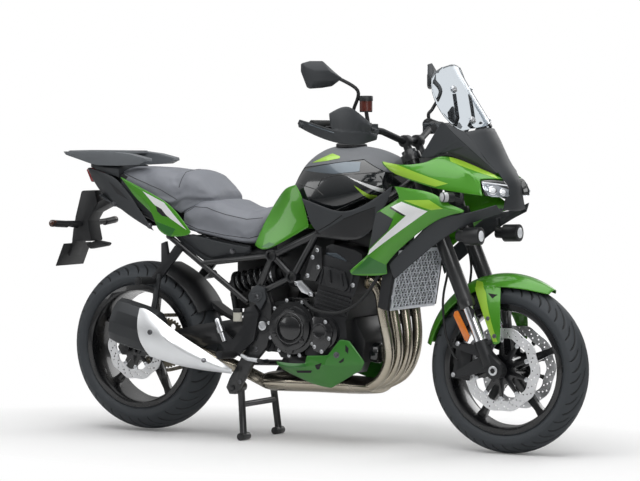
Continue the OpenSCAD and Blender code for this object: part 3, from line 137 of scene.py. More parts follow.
class Sock:
    """Output of a shader node, with the arithmetic that adds Math nodes."""

    def __init__(self, graph: "Graph", socket: bpy.types.NodeSocket) -> None:
        """Wraps one socket of a graph."""
        self.graph = graph
        self.socket = socket

    def _math(self, operation: str, first: object, second: object) -> "Sock":
        """Adds one Math node and returns its value."""
        return self.graph.node("ShaderNodeMath", {"operation": operation}, {0: first, 1: second})

    def __add__(self, other: object) -> "Sock":
        """Sum."""
        return self._math("ADD", self, other)

    def __radd__(self, other: object) -> "Sock":
        """Sum, reflected."""
        return self._math("ADD", other, self)

    def __sub__(self, other: object) -> "Sock":
        """Difference."""
        return self._math("SUBTRACT", self, other)

    def __rsub__(self, other: object) -> "Sock":
        """Difference, reflected."""
        return self._math("SUBTRACT", other, self)

    def __mul__(self, other: object) -> "Sock":
        """Product."""
        return self._math("MULTIPLY", self, other)

    def __rmul__(self, other: object) -> "Sock":
        """Product, reflected."""
        return self._math("MULTIPLY", other, self)

    def __truediv__(self, other: object) -> "Sock":
        """Quotient."""
        return self._math("DIVIDE", self, other)

    def __rtruediv__(self, other: object) -> "Sock":
        """Quotient, reflected."""
        return self._math("DIVIDE", other, self)

    def __pow__(self, other: object) -> "Sock":
        """Power."""
        return self._math("POWER", self, other)

    def clipped(self, low: float, high: float) -> "Sock":
        """The value held between two limits."""
        return self._math("MINIMUM", self._math("MAXIMUM", self, low), high)

    def part(self, axis: str) -> "Sock":
        """One part, X, Y or Z, of a vector."""
        return self.graph.node("ShaderNodeSeparateXYZ", {}, {0: self}, out=axis)


class Graph:
    """Node tree of one material, with a principled surface at its end."""

    def __init__(self, name: str) -> None:
        """Makes an empty material.

        Args:
            name: Name of the material.
        """
        self.material = bpy.data.materials.new(name)
        self.material.use_nodes = True
        self.tree = self.material.node_tree
        self.tree.nodes.clear()
        self.end = self.tree.nodes.new("ShaderNodeOutputMaterial")
        self.surface = self.tree.nodes.new("ShaderNodeBsdfPrincipled")
        self.tree.links.new(self.surface.outputs[0], self.end.inputs["Surface"])

    @classmethod
    def over(cls, tree: bpy.types.NodeTree) -> "Graph":
        """A graph over a tree that is already there, such as the sky's.

        Args:
            tree: The node tree.

        Returns:
            The graph.
        """
        made = cls.__new__(cls)
        made.tree = tree
        return made

    def feed(self, socket: bpy.types.NodeSocket, value: object) -> None:
        """Sets a socket to a number or colour, or links it to another node's output.

        Args:
            socket: The input to set.
            value: A Sock, a number, a colour or a vector.
        """
        if isinstance(value, Sock):
            self.tree.links.new(value.socket, socket)
        elif isinstance(value, (tuple, list)) and len(value) == 3 and socket.type == "RGBA":
            socket.default_value = (*value, 1.0)
        else:
            socket.default_value = value

    def node(self, kind: str, settings: dict, values: dict, out: int | str = 0) -> Sock:
        """Adds one node.

        Args:
            kind: Type of the node.
            settings: Properties that are set first; "stops" fills a colour ramp.
            values: Number, colour or Sock for each input, by name or place.
            out: Which output is returned.

        Returns:
            The chosen output.
        """
        made = self.tree.nodes.new(kind)
        for key, value in settings.items():
            if key == "stops":
                ramp = made.color_ramp
                while len(ramp.elements) < len(value):
                    ramp.elements.new(0.5)
                for stop, (place, colour) in zip(ramp.elements, value):
                    stop.position = place
                    stop.color = (*colour, 1.0)
            else:
                setattr(made, key, value)
        for key, value in values.items():
            if value is not None:
                self.feed(made.inputs[key], value)
        return Sock(self, made.outputs[out])

    def place(self, stretch: Point = EVEN) -> Sock:
        """Place on the piece, in metres, stretched along each axis."""
        where = self.node("ShaderNodeTexCoord", {}, {}, out="Object")
        return self.node("ShaderNodeVectorMath", {"operation": "MULTIPLY"}, {0: where, 1: stretch})

    def noise(self, scale: float, detail: float = 2.0, stretch: Point = EVEN) -> Sock:
        """Cloudy noise from 0 to 1, with so many spots to the metre."""
        values = {"Vector": self.place(stretch), "Scale": scale, "Detail": detail}
        return self.node("ShaderNodeTexNoise", {}, values)

    def cells(self, scale: float) -> Sock:
        """Distance to the middle of the nearest cell, as in leather grain."""
        return self.node("ShaderNodeTexVoronoi", {}, {"Vector": self.place(), "Scale": scale})

    def mix(self, share: object, first: object, second: object) -> Sock:
        """Colour between two colours."""
        return self.node("ShaderNodeMix", {"data_type": "RGBA"}, {0: share, 6: first, 7: second}, out=2)

    def bump(self, height: Sock, depth: float) -> Sock:
        """Normal of a surface with that relief, depth in metres."""
        return self.node("ShaderNodeBump", {}, {"Height": height, "Distance": depth})

    def set(self, **values: object) -> None:
        """Sets inputs of the surface, named with _ for a space."""
        for key, value in values.items():
            self.feed(self.surface.inputs[key.replace("_", " ")], value)


class Grain(Enum):
    """Relief of a surface."""

    FINE = "fine"
    CELLS = "cells"
    BRUSHED_X = "brushed along x"
    BRUSHED_Y = "brushed along y"
    FLAKE = "flake"


@dataclass(frozen=True)
class Finish:
    """One finish: its colour, gloss and relief."""

    name: str
    colour: Colour
    roughness: float = 0.5
    metallic: float = 0.0
    coat: float = 0.0
    transmission: float = 0.0
    ior: float = 1.45
    glow: float = 0.0
    mottle: float = 0.08
    mottle_scale: float = 18.0
    smudge: float = 0.10
    grain: Grain = Grain.FINE
    grain_scale: float = 900.0
    grain_depth: float = 0.00004
    tint: Colour | None = None
    shade_grooves: bool = False

    def relief(self, graph: Graph) -> Sock:
        """Height map of the finish's grain.

        Args:
            graph: The material's graph.

        Returns:
            The height, 0 to 1.
        """
        if self.grain is Grain.CELLS:
            return graph.cells(self.grain_scale)
        if self.grain is Grain.BRUSHED_X:
            return graph.noise(self.grain_scale, stretch=(BRUSH_STRETCH, 1.0, 1.0))
        if self.grain is Grain.BRUSHED_Y:
            return graph.noise(self.grain_scale, stretch=(1.0, BRUSH_STRETCH, 1.0))
        return graph.noise(self.grain_scale, 3.0)

    def tone(self, graph: Graph, broad: Sock, fine: Sock) -> Sock:
        """Colour over the surface: broad clouds or flakes, and painted shade in the grooves where the finish
        has them.

        Args:
            graph: The material's graph.
            broad: Cloudy noise.
            fine: Height of the grain.

        Returns:
            The colour.
        """
        spread = fine if self.grain is Grain.FLAKE else broad
        other = self.tint or shade(self.colour, self.mottle)
        base = graph.mix(spread, shade(self.colour, -self.mottle), other)
        # Painted shade: where the finish has grooves, their colour darkens with depth, for the shade inside
        # them.
        if not self.shade_grooves:
            return base
        cut = graph.node("ShaderNodeAttribute", {"attribute_name": GROOVE}, {}, out="Fac")
        return graph.mix(cut, base, shade(self.colour, GROOVE_SHADE))

    def material(self) -> bpy.types.Material:
        """The finish as a material, made once.

        Returns:
            The material.
        """
        made = bpy.data.materials.get(self.name)
        if made:
            return made
        graph = Graph(self.name)
        broad = graph.noise(self.mottle_scale, 4.0)
        fine = self.relief(graph)
        rough = (self.roughness + self.smudge * (broad - 0.5)).clipped(0.02, 1.0)
        graph.set(Base_Color=self.tone(graph, broad, fine), Roughness=rough, Metallic=self.metallic)
        graph.set(Normal=graph.bump(fine, self.grain_depth), IOR=self.ior)
        if self.coat:
            graph.set(Coat_Weight=self.coat, Coat_Roughness=COAT_ROUGHNESS)
        if self.transmission:
            graph.set(Transmission_Weight=self.transmission)
        if self.glow:
            graph.set(Emission_Color=self.colour, Emission_Strength=self.glow)
        return graph.material


def flaked(name: str, colour: Colour, tint: Colour, roughness: float, coat: float = 0.5,
           mottle: float = 0.10) -> Finish:
    """Paint with fine metal flakes.

    Args:
        name: Name of the finish.
        colour: Its darker colour.
        tint: Its lighter colour, on the flakes.
        roughness: Roughness of the paint.
        coat: Weight of the clear coat.
        mottle: How much darker the ground is than the colour.

    Returns:
        The finish.
    """
    return Finish(name, colour, roughness, 0.15, coat, mottle=mottle, grain=Grain.FLAKE, grain_scale=2600.0,
                  grain_depth=0.000006, smudge=0.06, tint=tint)


LIME = flaked("lime_paint", srgb(60, 139, 15), srgb(78, 159, 20), 0.34, 0.6)
# Lighter lime: the real green trim on the tank, and a painted highlight on the lit facets of the green
# panels.
LIME_TRIM_AND_HIGHLIGHT = flaked("lime_trim_and_painted_highlight", srgb(150, 200, 52), srgb(172, 216, 66), 0.34, mottle=0.08)
# Darker lime: painted shade on the green panels' shaded faces and lower parts.
LIME_SHADE = flaked("painted_shade_lime", srgb(32, 98, 32), srgb(46, 122, 40), 0.36)
# Darker lime for the belly cowl: painted shade for its place low under the machine.
SHADED_BELLY_LIME = flaked("painted_shade_belly_lime", srgb(42, 116, 32), srgb(56, 134, 38), 0.36)
GLOSS_BLACK = Finish("gloss_black_paint", srgb(24, 27, 29), 0.18, 0.1, 1.0, grain=Grain.FLAKE,
                     grain_scale=2600.0, grain_depth=0.000004, smudge=0.06, tint=srgb(34, 38, 41))
GRAPHITE = Finish("graphite_paint", srgb(82, 92, 100), 0.3, 0.75, 1.0, grain=Grain.FLAKE,
                  grain_scale=2600.0, grain_depth=0.000006, smudge=0.06)
CHARCOAL = Finish("charcoal_plastic", srgb(52, 55, 58), 0.5, grain=Grain.CELLS, grain_scale=700.0,
                  grain_depth=0.00006)
BLACK_PLASTIC = Finish("black_plastic", srgb(30, 31, 33), 0.46, grain=Grain.CELLS, grain_scale=800.0)
TANK_GREY = Finish("grey_tank_cover", srgb(104, 107, 111), 0.46, grain=Grain.CELLS, grain_scale=900.0,
                   grain_depth=0.00003)
FRAME_BLACK = Finish("black_frame_enamel", srgb(31, 32, 34), 0.36, 0.0, 0.35, grain_scale=260.0)
CAST_BLACK = Finish("black_cast_engine", srgb(40, 41, 43), 0.4, 0.35, grain_scale=1500.0,
                    grain_depth=0.00006)
RIM_BLACK = Finish("black_wheel_paint", srgb(22, 23, 25), 0.28, 0.2, 0.6, grain_scale=300.0,
                   grain_depth=0.00002)
SILVER = Finish("bright_alloy", srgb(205, 207, 210), 0.3, 1.0, grain=Grain.BRUSHED_X, grain_scale=1200.0,
                grain_depth=0.00002)
SATIN_ALLOY = Finish("satin_alloy_sheet", srgb(226, 228, 230), 0.42, 0.9, grain=Grain.BRUSHED_X,
                     grain_scale=1400.0, grain_depth=0.000025)
CHROME = Finish("chromed_tube", srgb(222, 224, 228), 0.12, 1.0, grain_scale=1800.0, grain_depth=0.000004)
STAINLESS = Finish("heated_stainless", srgb(168, 158, 138), 0.26, 1.0, mottle=0.16, mottle_scale=9.0,
                   grain_scale=1400.0, grain_depth=0.00001, tint=srgb(190, 184, 172))
SILENCER_BLACK = Finish("dark_silencer_skin", srgb(58, 60, 62), 0.42, 0.6, grain_scale=1500.0,
                        grain_depth=0.00003)
DISC_STEEL = Finish("brake_disc_steel", srgb(228, 229, 231), 0.36, 0.75, grain_scale=2200.0,
                    grain_depth=0.00002)
CHAIN_STEEL = Finish("chain_steel", srgb(128, 122, 108), 0.4, 1.0, grain_scale=1200.0, grain_depth=0.00003)
# Tyre rubber; its tread grooves get painted shade.
RUBBER = Finish("tyre_rubber", srgb(60, 64, 68), 0.64, grain_scale=1600.0, grain_depth=0.00008,
                mottle=0.12, shade_grooves=True)
SOFT_RUBBER = Finish("grip_rubber", srgb(26, 27, 28), 0.66, grain=Grain.CELLS, grain_scale=1100.0,
                     grain_depth=0.00008)
VINYL = Finish("seat_vinyl", srgb(126, 129, 136), 0.5, grain=Grain.CELLS, grain_scale=620.0,
               grain_depth=0.00022, mottle=0.07)
CLEAR = Finish("clear_screen", srgb(212, 219, 225), 0.03, transmission=1.0, ior=1.2, smudge=0.02,
               mottle=0.01, grain_depth=0.000002)
LAMP_WHITE = Finish("lamp_glow", srgb(240, 243, 248), 0.2, glow=0.12, coat=1.0, grain=Grain.CELLS,
                    grain_scale=300.0, grain_depth=0.0004)
RED_LENS = Finish("red_lens", srgb(170, 18, 22), 0.12, coat=1.0, transmission=0.25, grain=Grain.CELLS,
                  grain_scale=260.0, grain_depth=0.0004)
AMBER = Finish("amber_reflector", srgb(226, 112, 26), 0.2, coat=1.0, grain=Grain.CELLS, grain_scale=420.0,
               grain_depth=0.0004, tint=srgb(244, 140, 40))
RED_BROWN = Finish("red_brown_fluid_bottle", srgb(92, 40, 30), 0.3, coat=0.6)
PALE_BOTTLE = Finish("pale_fluid_bottle", srgb(214, 212, 200), 0.4, transmission=0.15)
STRIPE_WHITE = Finish("white_stripe", srgb(242, 243, 244), 0.34, 0.15, 0.6, grain=Grain.FLAKE,
                      grain_scale=2400.0, grain_depth=0.000004, mottle=0.04)
STRIPE_BLACK = Finish("black_stripe", srgb(18, 19, 20), 0.3, coat=0.6, grain_depth=0.000004)
CORE_GREY = Finish("radiator_core", srgb(50, 51, 53), 0.6, 0.6, grain=Grain.BRUSHED_Y, grain_scale=500.0,
                   grain_depth=0.0006)
COVER_BLACK = Finish("glossy_cover_black", srgb(30, 31, 33), 0.26, 0.3, 0.7, grain_scale=1200.0,
                     grain_depth=0.00002)
LAMP_GLASS = Finish("lamp_glass", srgb(176, 182, 190), 0.1, 0.6, 1.0, grain=Grain.CELLS, grain_scale=110.0,
                    grain_depth=0.0009, mottle=0.3)
# Near black: painted shade in openings, gaps and hollows, such as vents, slots, panel splits and axle ends.
PAINTED_SHADE_SLOT = Finish("painted_shade_opening", srgb(12, 12, 13), 0.7, grain_depth=0.00002)
SPRING_BLACK = Finish("black_spring", srgb(54, 56, 58), 0.24, 0.2, 0.8, grain_depth=0.00001)
BOLT_STEEL = Finish("dark_bolt_steel", srgb(112, 113, 116), 0.34, 1.0, grain_scale=1600.0,
                    grain_depth=0.00002)
CARRIER_GREY = Finish("grey_carrier_plastic", srgb(106, 110, 114), 0.46, grain=Grain.CELLS, grain_scale=800.0)
SEAM = Finish("seat_seam", srgb(48, 49, 52), 0.6, grain_scale=1500.0, grain_depth=0.0002)
DISPLAY = Finish("dark_display", srgb(14, 16, 20), 0.1, coat=1.0, grain_depth=0.000002)
PALE_LENS = Finish("pale_lens", srgb(226, 228, 232), 0.12, coat=1.0, transmission=0.3, grain=Grain.CELLS,
                   grain_scale=300.0, grain_depth=0.0003)
SMOKED = Finish("smoked_amber_lens", srgb(70, 34, 14), 0.14, coat=1.0, grain=Grain.CELLS, grain_scale=300.0,
                grain_depth=0.0003)
GUARD_ALLOY = Finish("guard_alloy", srgb(220, 223, 231), 0.4, 0.5, grain_scale=1200.0,
                     grain_depth=0.00002)


class Builder:
    """Gathers the vertices and faces of one piece."""

    def __init__(self) -> None:
        """Starts with nothing."""
        self.verts: list[Vector] = []
        self.faces: list[tuple[int, ...]] = []

    def add(self, verts: Iterable[Sequence[float]], faces: Iterable[Sequence[int]]) -> None:
        """Adds a lump.

        Args:
            verts: Its vertices.
            faces: Its faces, as places in that list.
        """
        base = len(self.verts)
        self.verts.extend(Vector(v) for v in verts)
        self.faces.extend(tuple(base + i for i in f) for f in faces)

    def rings(self, rings: Sequence[Sequence[Sequence[float]]], capped: bool = True,
              looped: bool = False) -> None:
        """Skins closed rings of points, in order.

        Args:
            rings: Rings with the same number of points.
            capped: Whether the first and last ring are closed.
            looped: Whether the last ring joins the first.
        """
        count = len(rings[0])
        total = len(rings)
        faces = []
        for i in range(total if looped else total - 1):
            j = (i + 1) % total
            for k in range(count):
                n = (k + 1) % count
                faces.append((i * count + k, i * count + n, j * count + n, j * count + k))
        if capped and not looped:
            faces.append(tuple(reversed(range(count))))
            faces.append(tuple((total - 1) * count + k for k in range(count)))
        self.add([p for ring in rings for p in ring], faces)

    def tube(self, path: Sequence[Sequence[float]], radius: float, sides: int = 14,
             looped: bool = False) -> "Builder":
        """Sweeps a round section along a path, turned as little as can be.

        Args:
            path: Points of the path, in metres.
            radius: Radius of the section.
            sides: Number of sides.
            looped: Whether the path is closed.

        Returns:
            The builder itself.
        """
        points = [Vector(p) for p in path]
        total = len(points)
        aside = None
        rings = []
        for i, point in enumerate(points):
            ahead = points[(i + 1) % total] if looped or i + 1 < total else point
            behind = points[i - 1] if looped or i > 0 else point
            along = (ahead - behind).normalized()
            if aside is None:
                aside = along.orthogonal().normalized()
            aside = (aside - along * aside.dot(along)).normalized()
            other = along.cross(aside)
            turn = [2 * math.pi * k / sides for k in range(sides)]
            rings.append([point + radius * (math.cos(a) * aside + math.sin(a) * other) for a in turn])
        self.rings(rings, looped=looped)
        return self

    def lathe(self, at: Sequence[float], axis: Sequence[float], profile: Sequence[Flat],
              sides: int = 24) -> "Builder":
        """Turns a profile of (radius, height) round an axis.

        Args:
            at: Foot of the axis.
            axis: Direction of the axis.
            profile: Radius and height of each ring; a ring of no radius is kept tiny.
            sides: Number of sides.

        Returns:
            The builder itself.
        """
        along = Vector(axis).normalized()
        aside = along.orthogonal().normalized()
        other = along.cross(aside)
        foot = Vector(at)
        rings = []
        for radius, height in profile:
            size = max(radius, 1e-5)
            turn = [2 * math.pi * k / sides for k in range(sides)]
            rings.append([foot + along * height + size * (math.cos(a) * aside + math.sin(a) * other)
                          for a in turn])
        self.rings(rings)
        return self

    def bolt(self, at: Sequence[float], axis: Sequence[float], radius: float) -> None:
        """Adds a round bolt head with a six-sided socket and a washer under it.

        Args:
            at: Foot of the head.
            axis: Direction that the head points.
            radius: Radius of the head.
        """
        high = radius * 0.9
        head = [(radius * 1.3, -0.0004), (radius * 1.3, 0.0008), (radius, 0.001), (radius, high * 0.85),
                (radius * 0.86, high)]
        self.lathe(at, axis, head, BOLT_SIDES)
        socket = [(radius * 0.86, 0.0), (radius * 0.84, radius * 0.1), (radius * 0.5, radius * 0.1),
                  (radius * 0.5, -radius * 0.3), (0.0, -radius * 0.3)]
        self.lathe(Vector(at) + Vector(axis).normalized() * (high - radius * 0.1), axis, socket, 6)

    def slab(self, outline: Sequence[Flat], y0: float, y1: float) -> "Builder":
        """Adds a plate.

        Args:
            outline: Side outline (x, z) in millimetres.
            y0: Place of one face across the machine, in millimetres.
            y1: Place of the other face.

        Returns:
            The builder itself.
        """
        front = [mm(x, y0, z) for x, z in outline]
        back = [mm(x, y1, z) for x, z in outline]
        self.rings([front, back])
        return self

    def mirror(self) -> None:
        """Adds the same again on the other side of the centre plane."""
        base = len(self.verts)
        self.verts.extend(Vector((v.x, -v.y, v.z)) for v in list(self.verts))
        self.faces.extend(tuple(base + i for i in reversed(f)) for f in list(self.faces))

    def mesh(self, name: str) -> bpy.types.Mesh:
        """The gathered lumps as one mesh, with normals to the outside.

        Args:
            name: Name of the mesh.

        Returns:
            The mesh.
        """
        made = bpy.data.meshes.new(name)
        made.from_pydata([tuple(v) for v in self.verts], [], self.faces)
        work = bmesh.new()
        work.from_mesh(made)
        bmesh.ops.recalc_face_normals(work, faces=work.faces)
        work.to_mesh(made)
        work.free()
        return made


class Piece:
    """A piece of the scene: an object that rides on a body."""

    made: ClassVar[int] = 0

    @staticmethod
    def body_of(node: str) -> str:
        """Name of the body that a node belongs to."""
        bodies = frame["record"]["behaviour"]["bodies"]
        return next(body for body, nodes in bodies.items() if node in nodes)

    @classmethod
    def place(cls, name: str, mesh: bpy.types.Mesh, finish: Finish, node: str, replaces: bool = False,
              sharp: float = 40.0, bevel: float = 0.0) -> bpy.types.Object:
        """Puts a mesh into the scene on the body of a node.

        Args:
            name: Name of the piece.
            mesh: Its mesh.
            finish: Its finish.
            node: The node whose body it rides on.
            replaces: Whether it stands for that node.
            sharp: Angle, in degrees, over which an edge stays sharp.
            bevel: Width of the rounding of its hard edges, in metres.

        Returns:
            The object.
        """
        piece = bpy.data.objects.new(name, mesh)
        bpy.context.scene.collection.objects.link(piece)
        mesh.materials.clear()
        mesh.materials.append(finish.material())
        mesh.shade_smooth()
        mesh.set_sharp_from_angle(angle=math.radians(sharp))
        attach(piece, cls.body_of(node))
        if replaces:
            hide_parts(node)
        if bevel:
            cls.round_edges(piece, bevel, EDGE_ANGLE, 2)
        cls.made += 1
        LOG.info("%s: %d faces on %s", name, len(mesh.polygons), cls.body_of(node))
        return piece

    @classmethod
    def built(cls, name: str, made: Builder, finish: Finish, node: str, both: bool = False,
              replaces: bool = False, bevel: float = 0.0) -> None:
        """Puts what a builder has gathered into the scene.

        Args:
            name: Name of the piece.
            made: The builder.
            finish: Its finish.
            node: The node whose body it rides on.
            both: Whether it is first mirrored to the other side of the machine.
            replaces: Whether it stands for that node.
            bevel: Width of the rounding of its hard edges, in metres.
        """
        if both:
            made.mirror()
        cls.place(name, made.mesh(name), finish, node, replaces=replaces, bevel=bevel)

    @staticmethod
    def settle(piece: bpy.types.Object) -> None:
        """Applies the modifiers of a piece to its mesh.

        Args:
            piece: The piece.
        """
        bpy.context.view_layer.update()
        graph = bpy.context.evaluated_depsgraph_get()
        mesh = bpy.data.meshes.new_from_object(piece.evaluated_get(graph))
        piece.modifiers.clear()
        piece.data = mesh

    @staticmethod
    def copy_of(node: str) -> bmesh.types.BMesh:
        """Welded copy of a node's mesh, with its normals to the outside.

        Args:
            node: The node.

        Returns:
            The copy, which the caller frees.
        """
        work = bmesh.new()
        work.from_mesh(frame["nodes"][node].data)
        bmesh.ops.remove_doubles(work, verts=work.verts, dist=WELD)
        bmesh.ops.dissolve_degenerate(work, edges=work.edges, dist=SPECK)
        bmesh.ops.recalc_face_normals(work, faces=work.faces)
        return work

    @classmethod
    def smooth(cls, node: str, finish: Finish, levels: int = 2, crease: float = 42.0,
               sharp: float = 50.0) -> bpy.types.Object:
        """Replaces a faceted node with its smooth surface, edges over an angle kept.

        Args:
            node: The node to replace.
            finish: Finish of the piece.
            levels: Rounds of subdivision.
            crease: Angle, in degrees, over which an edge is kept crisp.
            sharp: Angle for the shading.

        Returns:
            The new piece.
        """
        work = cls.copy_of(node)
        bmesh.ops.join_triangles(work, faces=work.faces, angle_face_threshold=math.radians(JOIN_ANGLE),
                                 angle_shape_threshold=math.radians(JOIN_SHAPE))
        layer = work.edges.layers.float.new("crease_edge")
        for edge in work.edges:
            if len(edge.link_faces) != 2 or edge.calc_face_angle(0.0) > math.radians(crease):
                edge[layer] = CREASE
        mesh = bpy.data.meshes.new(node + "_skin")
        work.to_mesh(mesh)
        work.free()
        piece = cls.place(node + "_skin", mesh, finish, node, replaces=True, sharp=180.0)
        piece.modifiers.new("round", "SUBSURF").levels = levels
        cls.settle(piece)
        piece.data.shade_smooth()
        piece.data.set_sharp_from_angle(angle=math.radians(sharp))
        return piece

    @classmethod
    def bevelled(cls, node: str, finish: Finish, width: float = 0.002, limit: float = 34.0,
                 segments: int = 2) -> bpy.types.Object:
        """Replaces a node with a copy whose hard edges are rounded.

        Args:
            node: The node to replace.
            finish: Finish of the piece.
            width: Width of the rounding, in metres.
            limit: Angle, in degrees, over which an edge is rounded.
            segments: Steps of the rounding.

        Returns:
            The new piece.
        """
        work = cls.copy_of(node)
        flat = math.radians(FLAT_ANGLE)
        bmesh.ops.dissolve_limit(work, angle_limit=flat, verts=work.verts, edges=work.edges)
        mesh = bpy.data.meshes.new(node + "_fine")
        work.to_mesh(mesh)
        work.free()
        piece = cls.place(node + "_fine", mesh, finish, node, replaces=True, sharp=180.0)
        cls.round_edges(piece, width, limit, segments)
        return piece

    @classmethod
    def round_edges(cls, piece: bpy.types.Object, width: float, limit: float, segments: int) -> None:
        """Rounds the hard edges of a piece.

        Args:
            piece: The piece.
            width: Width of the rounding, in metres.
            limit: Angle, in degrees, over which an edge is rounded.
            segments: Steps of the rounding.
        """
        bevel = piece.modifiers.new("edges", "BEVEL")
        bevel.width = width
        bevel.segments = segments
        bevel.limit_method = "ANGLE"
        bevel.angle_limit = math.radians(limit)
        cls.settle(piece)
        piece.data.shade_smooth()
        piece.data.set_sharp_from_angle(angle=math.radians(SHADE_ANGLE))

    @staticmethod
    def patch(skin: bpy.types.Object, outline: Sequence[Flat], lift: float, facing: float) -> Builder:
        """Thin sheet that follows a skin inside a convex side outline, on both sides of the machine.

        Args:
            skin: The piece it lies on.
            outline: Corners (x, z) in millimetres.
            lift: Height over the skin, in metres.
            facing: Least share of a face's normal that points away from the centre plane.

        Returns:
            The sheet's vertices and faces.
        """
        work = bmesh.new()
        work.from_mesh(skin.data)
        inner = [f for f in work.faces if f.normal.y * math.copysign(1.0, f.calc_center_median().y) < facing]
        bmesh.ops.delete(work, geom=inner, context="FACES")
        ring = list(outline)
        if sum(a[0] * b[1] - b[0] * a[1] for a, b in zip(ring, ring[1:] + ring[:1])) < 0:
            ring.reverse()
        for a, b in zip(ring, ring[1:] + ring[:1]):
            geom = [*work.verts, *work.edges, *work.faces]
            away = Vector((b[1] - a[1], 0.0, a[0] - b[0])).normalized()
            bmesh.ops.bisect_plane(work, geom=geom, dist=1e-7, plane_co=mm(a[0], 0, a[1]), plane_no=away,
                                   clear_outer=True)
        work.normal_update()
        work.verts.index_update()
        count = len(work.verts)
        made = Builder()
        faces = [[v.index for v in f.verts] for f in work.faces]
        faces += [[v.index + count for v in reversed(f.verts)] for f in work.faces]
        for edge in work.edges:
            if len(edge.link_faces) == 1:
                a, b = (v.index for v in edge.verts)
                faces.append([a, b, b + count, a + count])
        over = [v.co + v.normal * lift for v in work.verts]
        under = [v.co - v.normal * SHEET_SINK for v in work.verts]
        made.add(over + under, faces)
        work.free()
        return made

    @classmethod
    def trim(cls, name: str, skin: bpy.types.Object, outlines: Sequence[Sequence[Flat]], finish: Finish,
             node: str, lift: float = SHEET_LIFT, facing: float = 0.05) -> None:
        """Lays thin sheets on a skin as one piece.

        Args:
            name: Name of the piece.
            skin: The piece it lies on.
            outlines: Convex side outlines, corners (x, z) in millimetres.
            finish: Its finish.
            node: The node whose body it rides on.
            lift: Height over the skin, in metres.
            facing: Least share of a face's normal that points away from the centre plane.
        """
        made = Builder()
        for outline in outlines:
            sheet = cls.patch(skin, outline, lift, facing)
            made.add(sheet.verts, sheet.faces)
        if made.faces:
            cls.built(name, made, finish, node)
        else:
            LOG.warning("%s has no faces", name)

    @staticmethod
    def paint(node: str, finish: Finish) -> None:
        """Gives a node that keeps its own shape a finish.

        Args:
            node: The node.
            finish: Its finish.
        """
        piece = frame["nodes"][node]
        piece.data.materials.clear()
        piece.data.materials.append(finish.material())


class Surface:
    """Skin of some pieces, which small parts are set on."""

    def __init__(self, *pieces: bpy.types.Object) -> None:
        """Gathers the faces of the pieces."""
        verts: list[Vector] = []
        faces: list[list[int]] = []
        for piece in pieces:
            base = len(verts)
            verts.extend(v.co.copy() for v in piece.data.vertices)
            faces.extend([base + i for i in p.vertices] for p in piece.data.polygons)
        self.tree = BVHTree.FromPolygons(verts, faces)

    def meet(self, start: Vector, aim: Vector) -> tuple[Vector, Vector]:
        """Where a line first meets the skin, or the nearest place.

        Args:
            start: Start of the line.
            aim: Its direction.

        Returns:
            The place and the normal there.
        """
        at, normal, _, _ = self.tree.ray_cast(start, aim)
        if at is None:
            at, normal, _, _ = self.tree.find_nearest(start + aim * AWAY)
        return at, normal if normal.dot(aim) < 0 else -normal

    def side(self, x: float, z: float, side: float = -1.0) -> tuple[Vector, Vector]:
        """Place and normal on one side of the machine, from x and z in millimetres."""
        return self.meet(mm(x, side * SIDE_START, z), Vector((0.0, -side, 0.0)))

    def bolts(self, made: Builder, places: Iterable[Flat], radius: float) -> None:
        """Sets bolts on the right side.

        Args:
            made: The builder that takes them.
            places: Their places (x, z) in millimetres.
            radius: Radius of a head, in metres.
        """
        for x, z in places:
            at, normal = self.side(x, z)
            made.bolt(at, normal, radius)

    def line(self, made: Builder, path: Sequence[Flat], radius: float, step: float = 10.0) -> None:
        """Lays a bead along a side path on the right, half sunk into the skin.

        Args:
            made: The builder that takes it.
            path: Corners (x, z) in millimetres.
            radius: Radius of the bead, in metres.
            step: Distance between its points, in millimetres.
        """
        points = []
        for (x0, z0), (x1, z1) in zip(path, path[1:]):
            count = max(2, int(math.hypot(x1 - x0, z1 - z0) / step))
            spots = [i / count for i in range(count)]
            points.extend(self.side(x0 + (x1 - x0) * t, z0 + (z1 - z0) * t)[0] for t in spots)
        points.append(self.side(*path[-1])[0])
        made.tube(points, radius, 8)

    def hoop(self, made: Builder, x: float, z: float, spread: float, radius: float, steps: int = 20) -> None:
        """Lays a bead over the top, round an axis through x and z.

        Args:
            made: The builder that takes it.
            x: Place of the axis along the machine, in millimetres.
            z: Its height.
            spread: Angle to either side, in degrees.
            radius: Radius of the bead, in metres.
            steps: Points on either side.
        """
        points = []
        for i in range(2 * steps + 1):
            turn = math.radians(spread * (i / steps - 1))
            ray = Vector((0.0, math.sin(turn), math.cos(turn))).normalized()
            points.append(self.meet(mm(x, 0, z) + ray * AWAY, -ray)[0])
        made.tube(points, radius, 8)


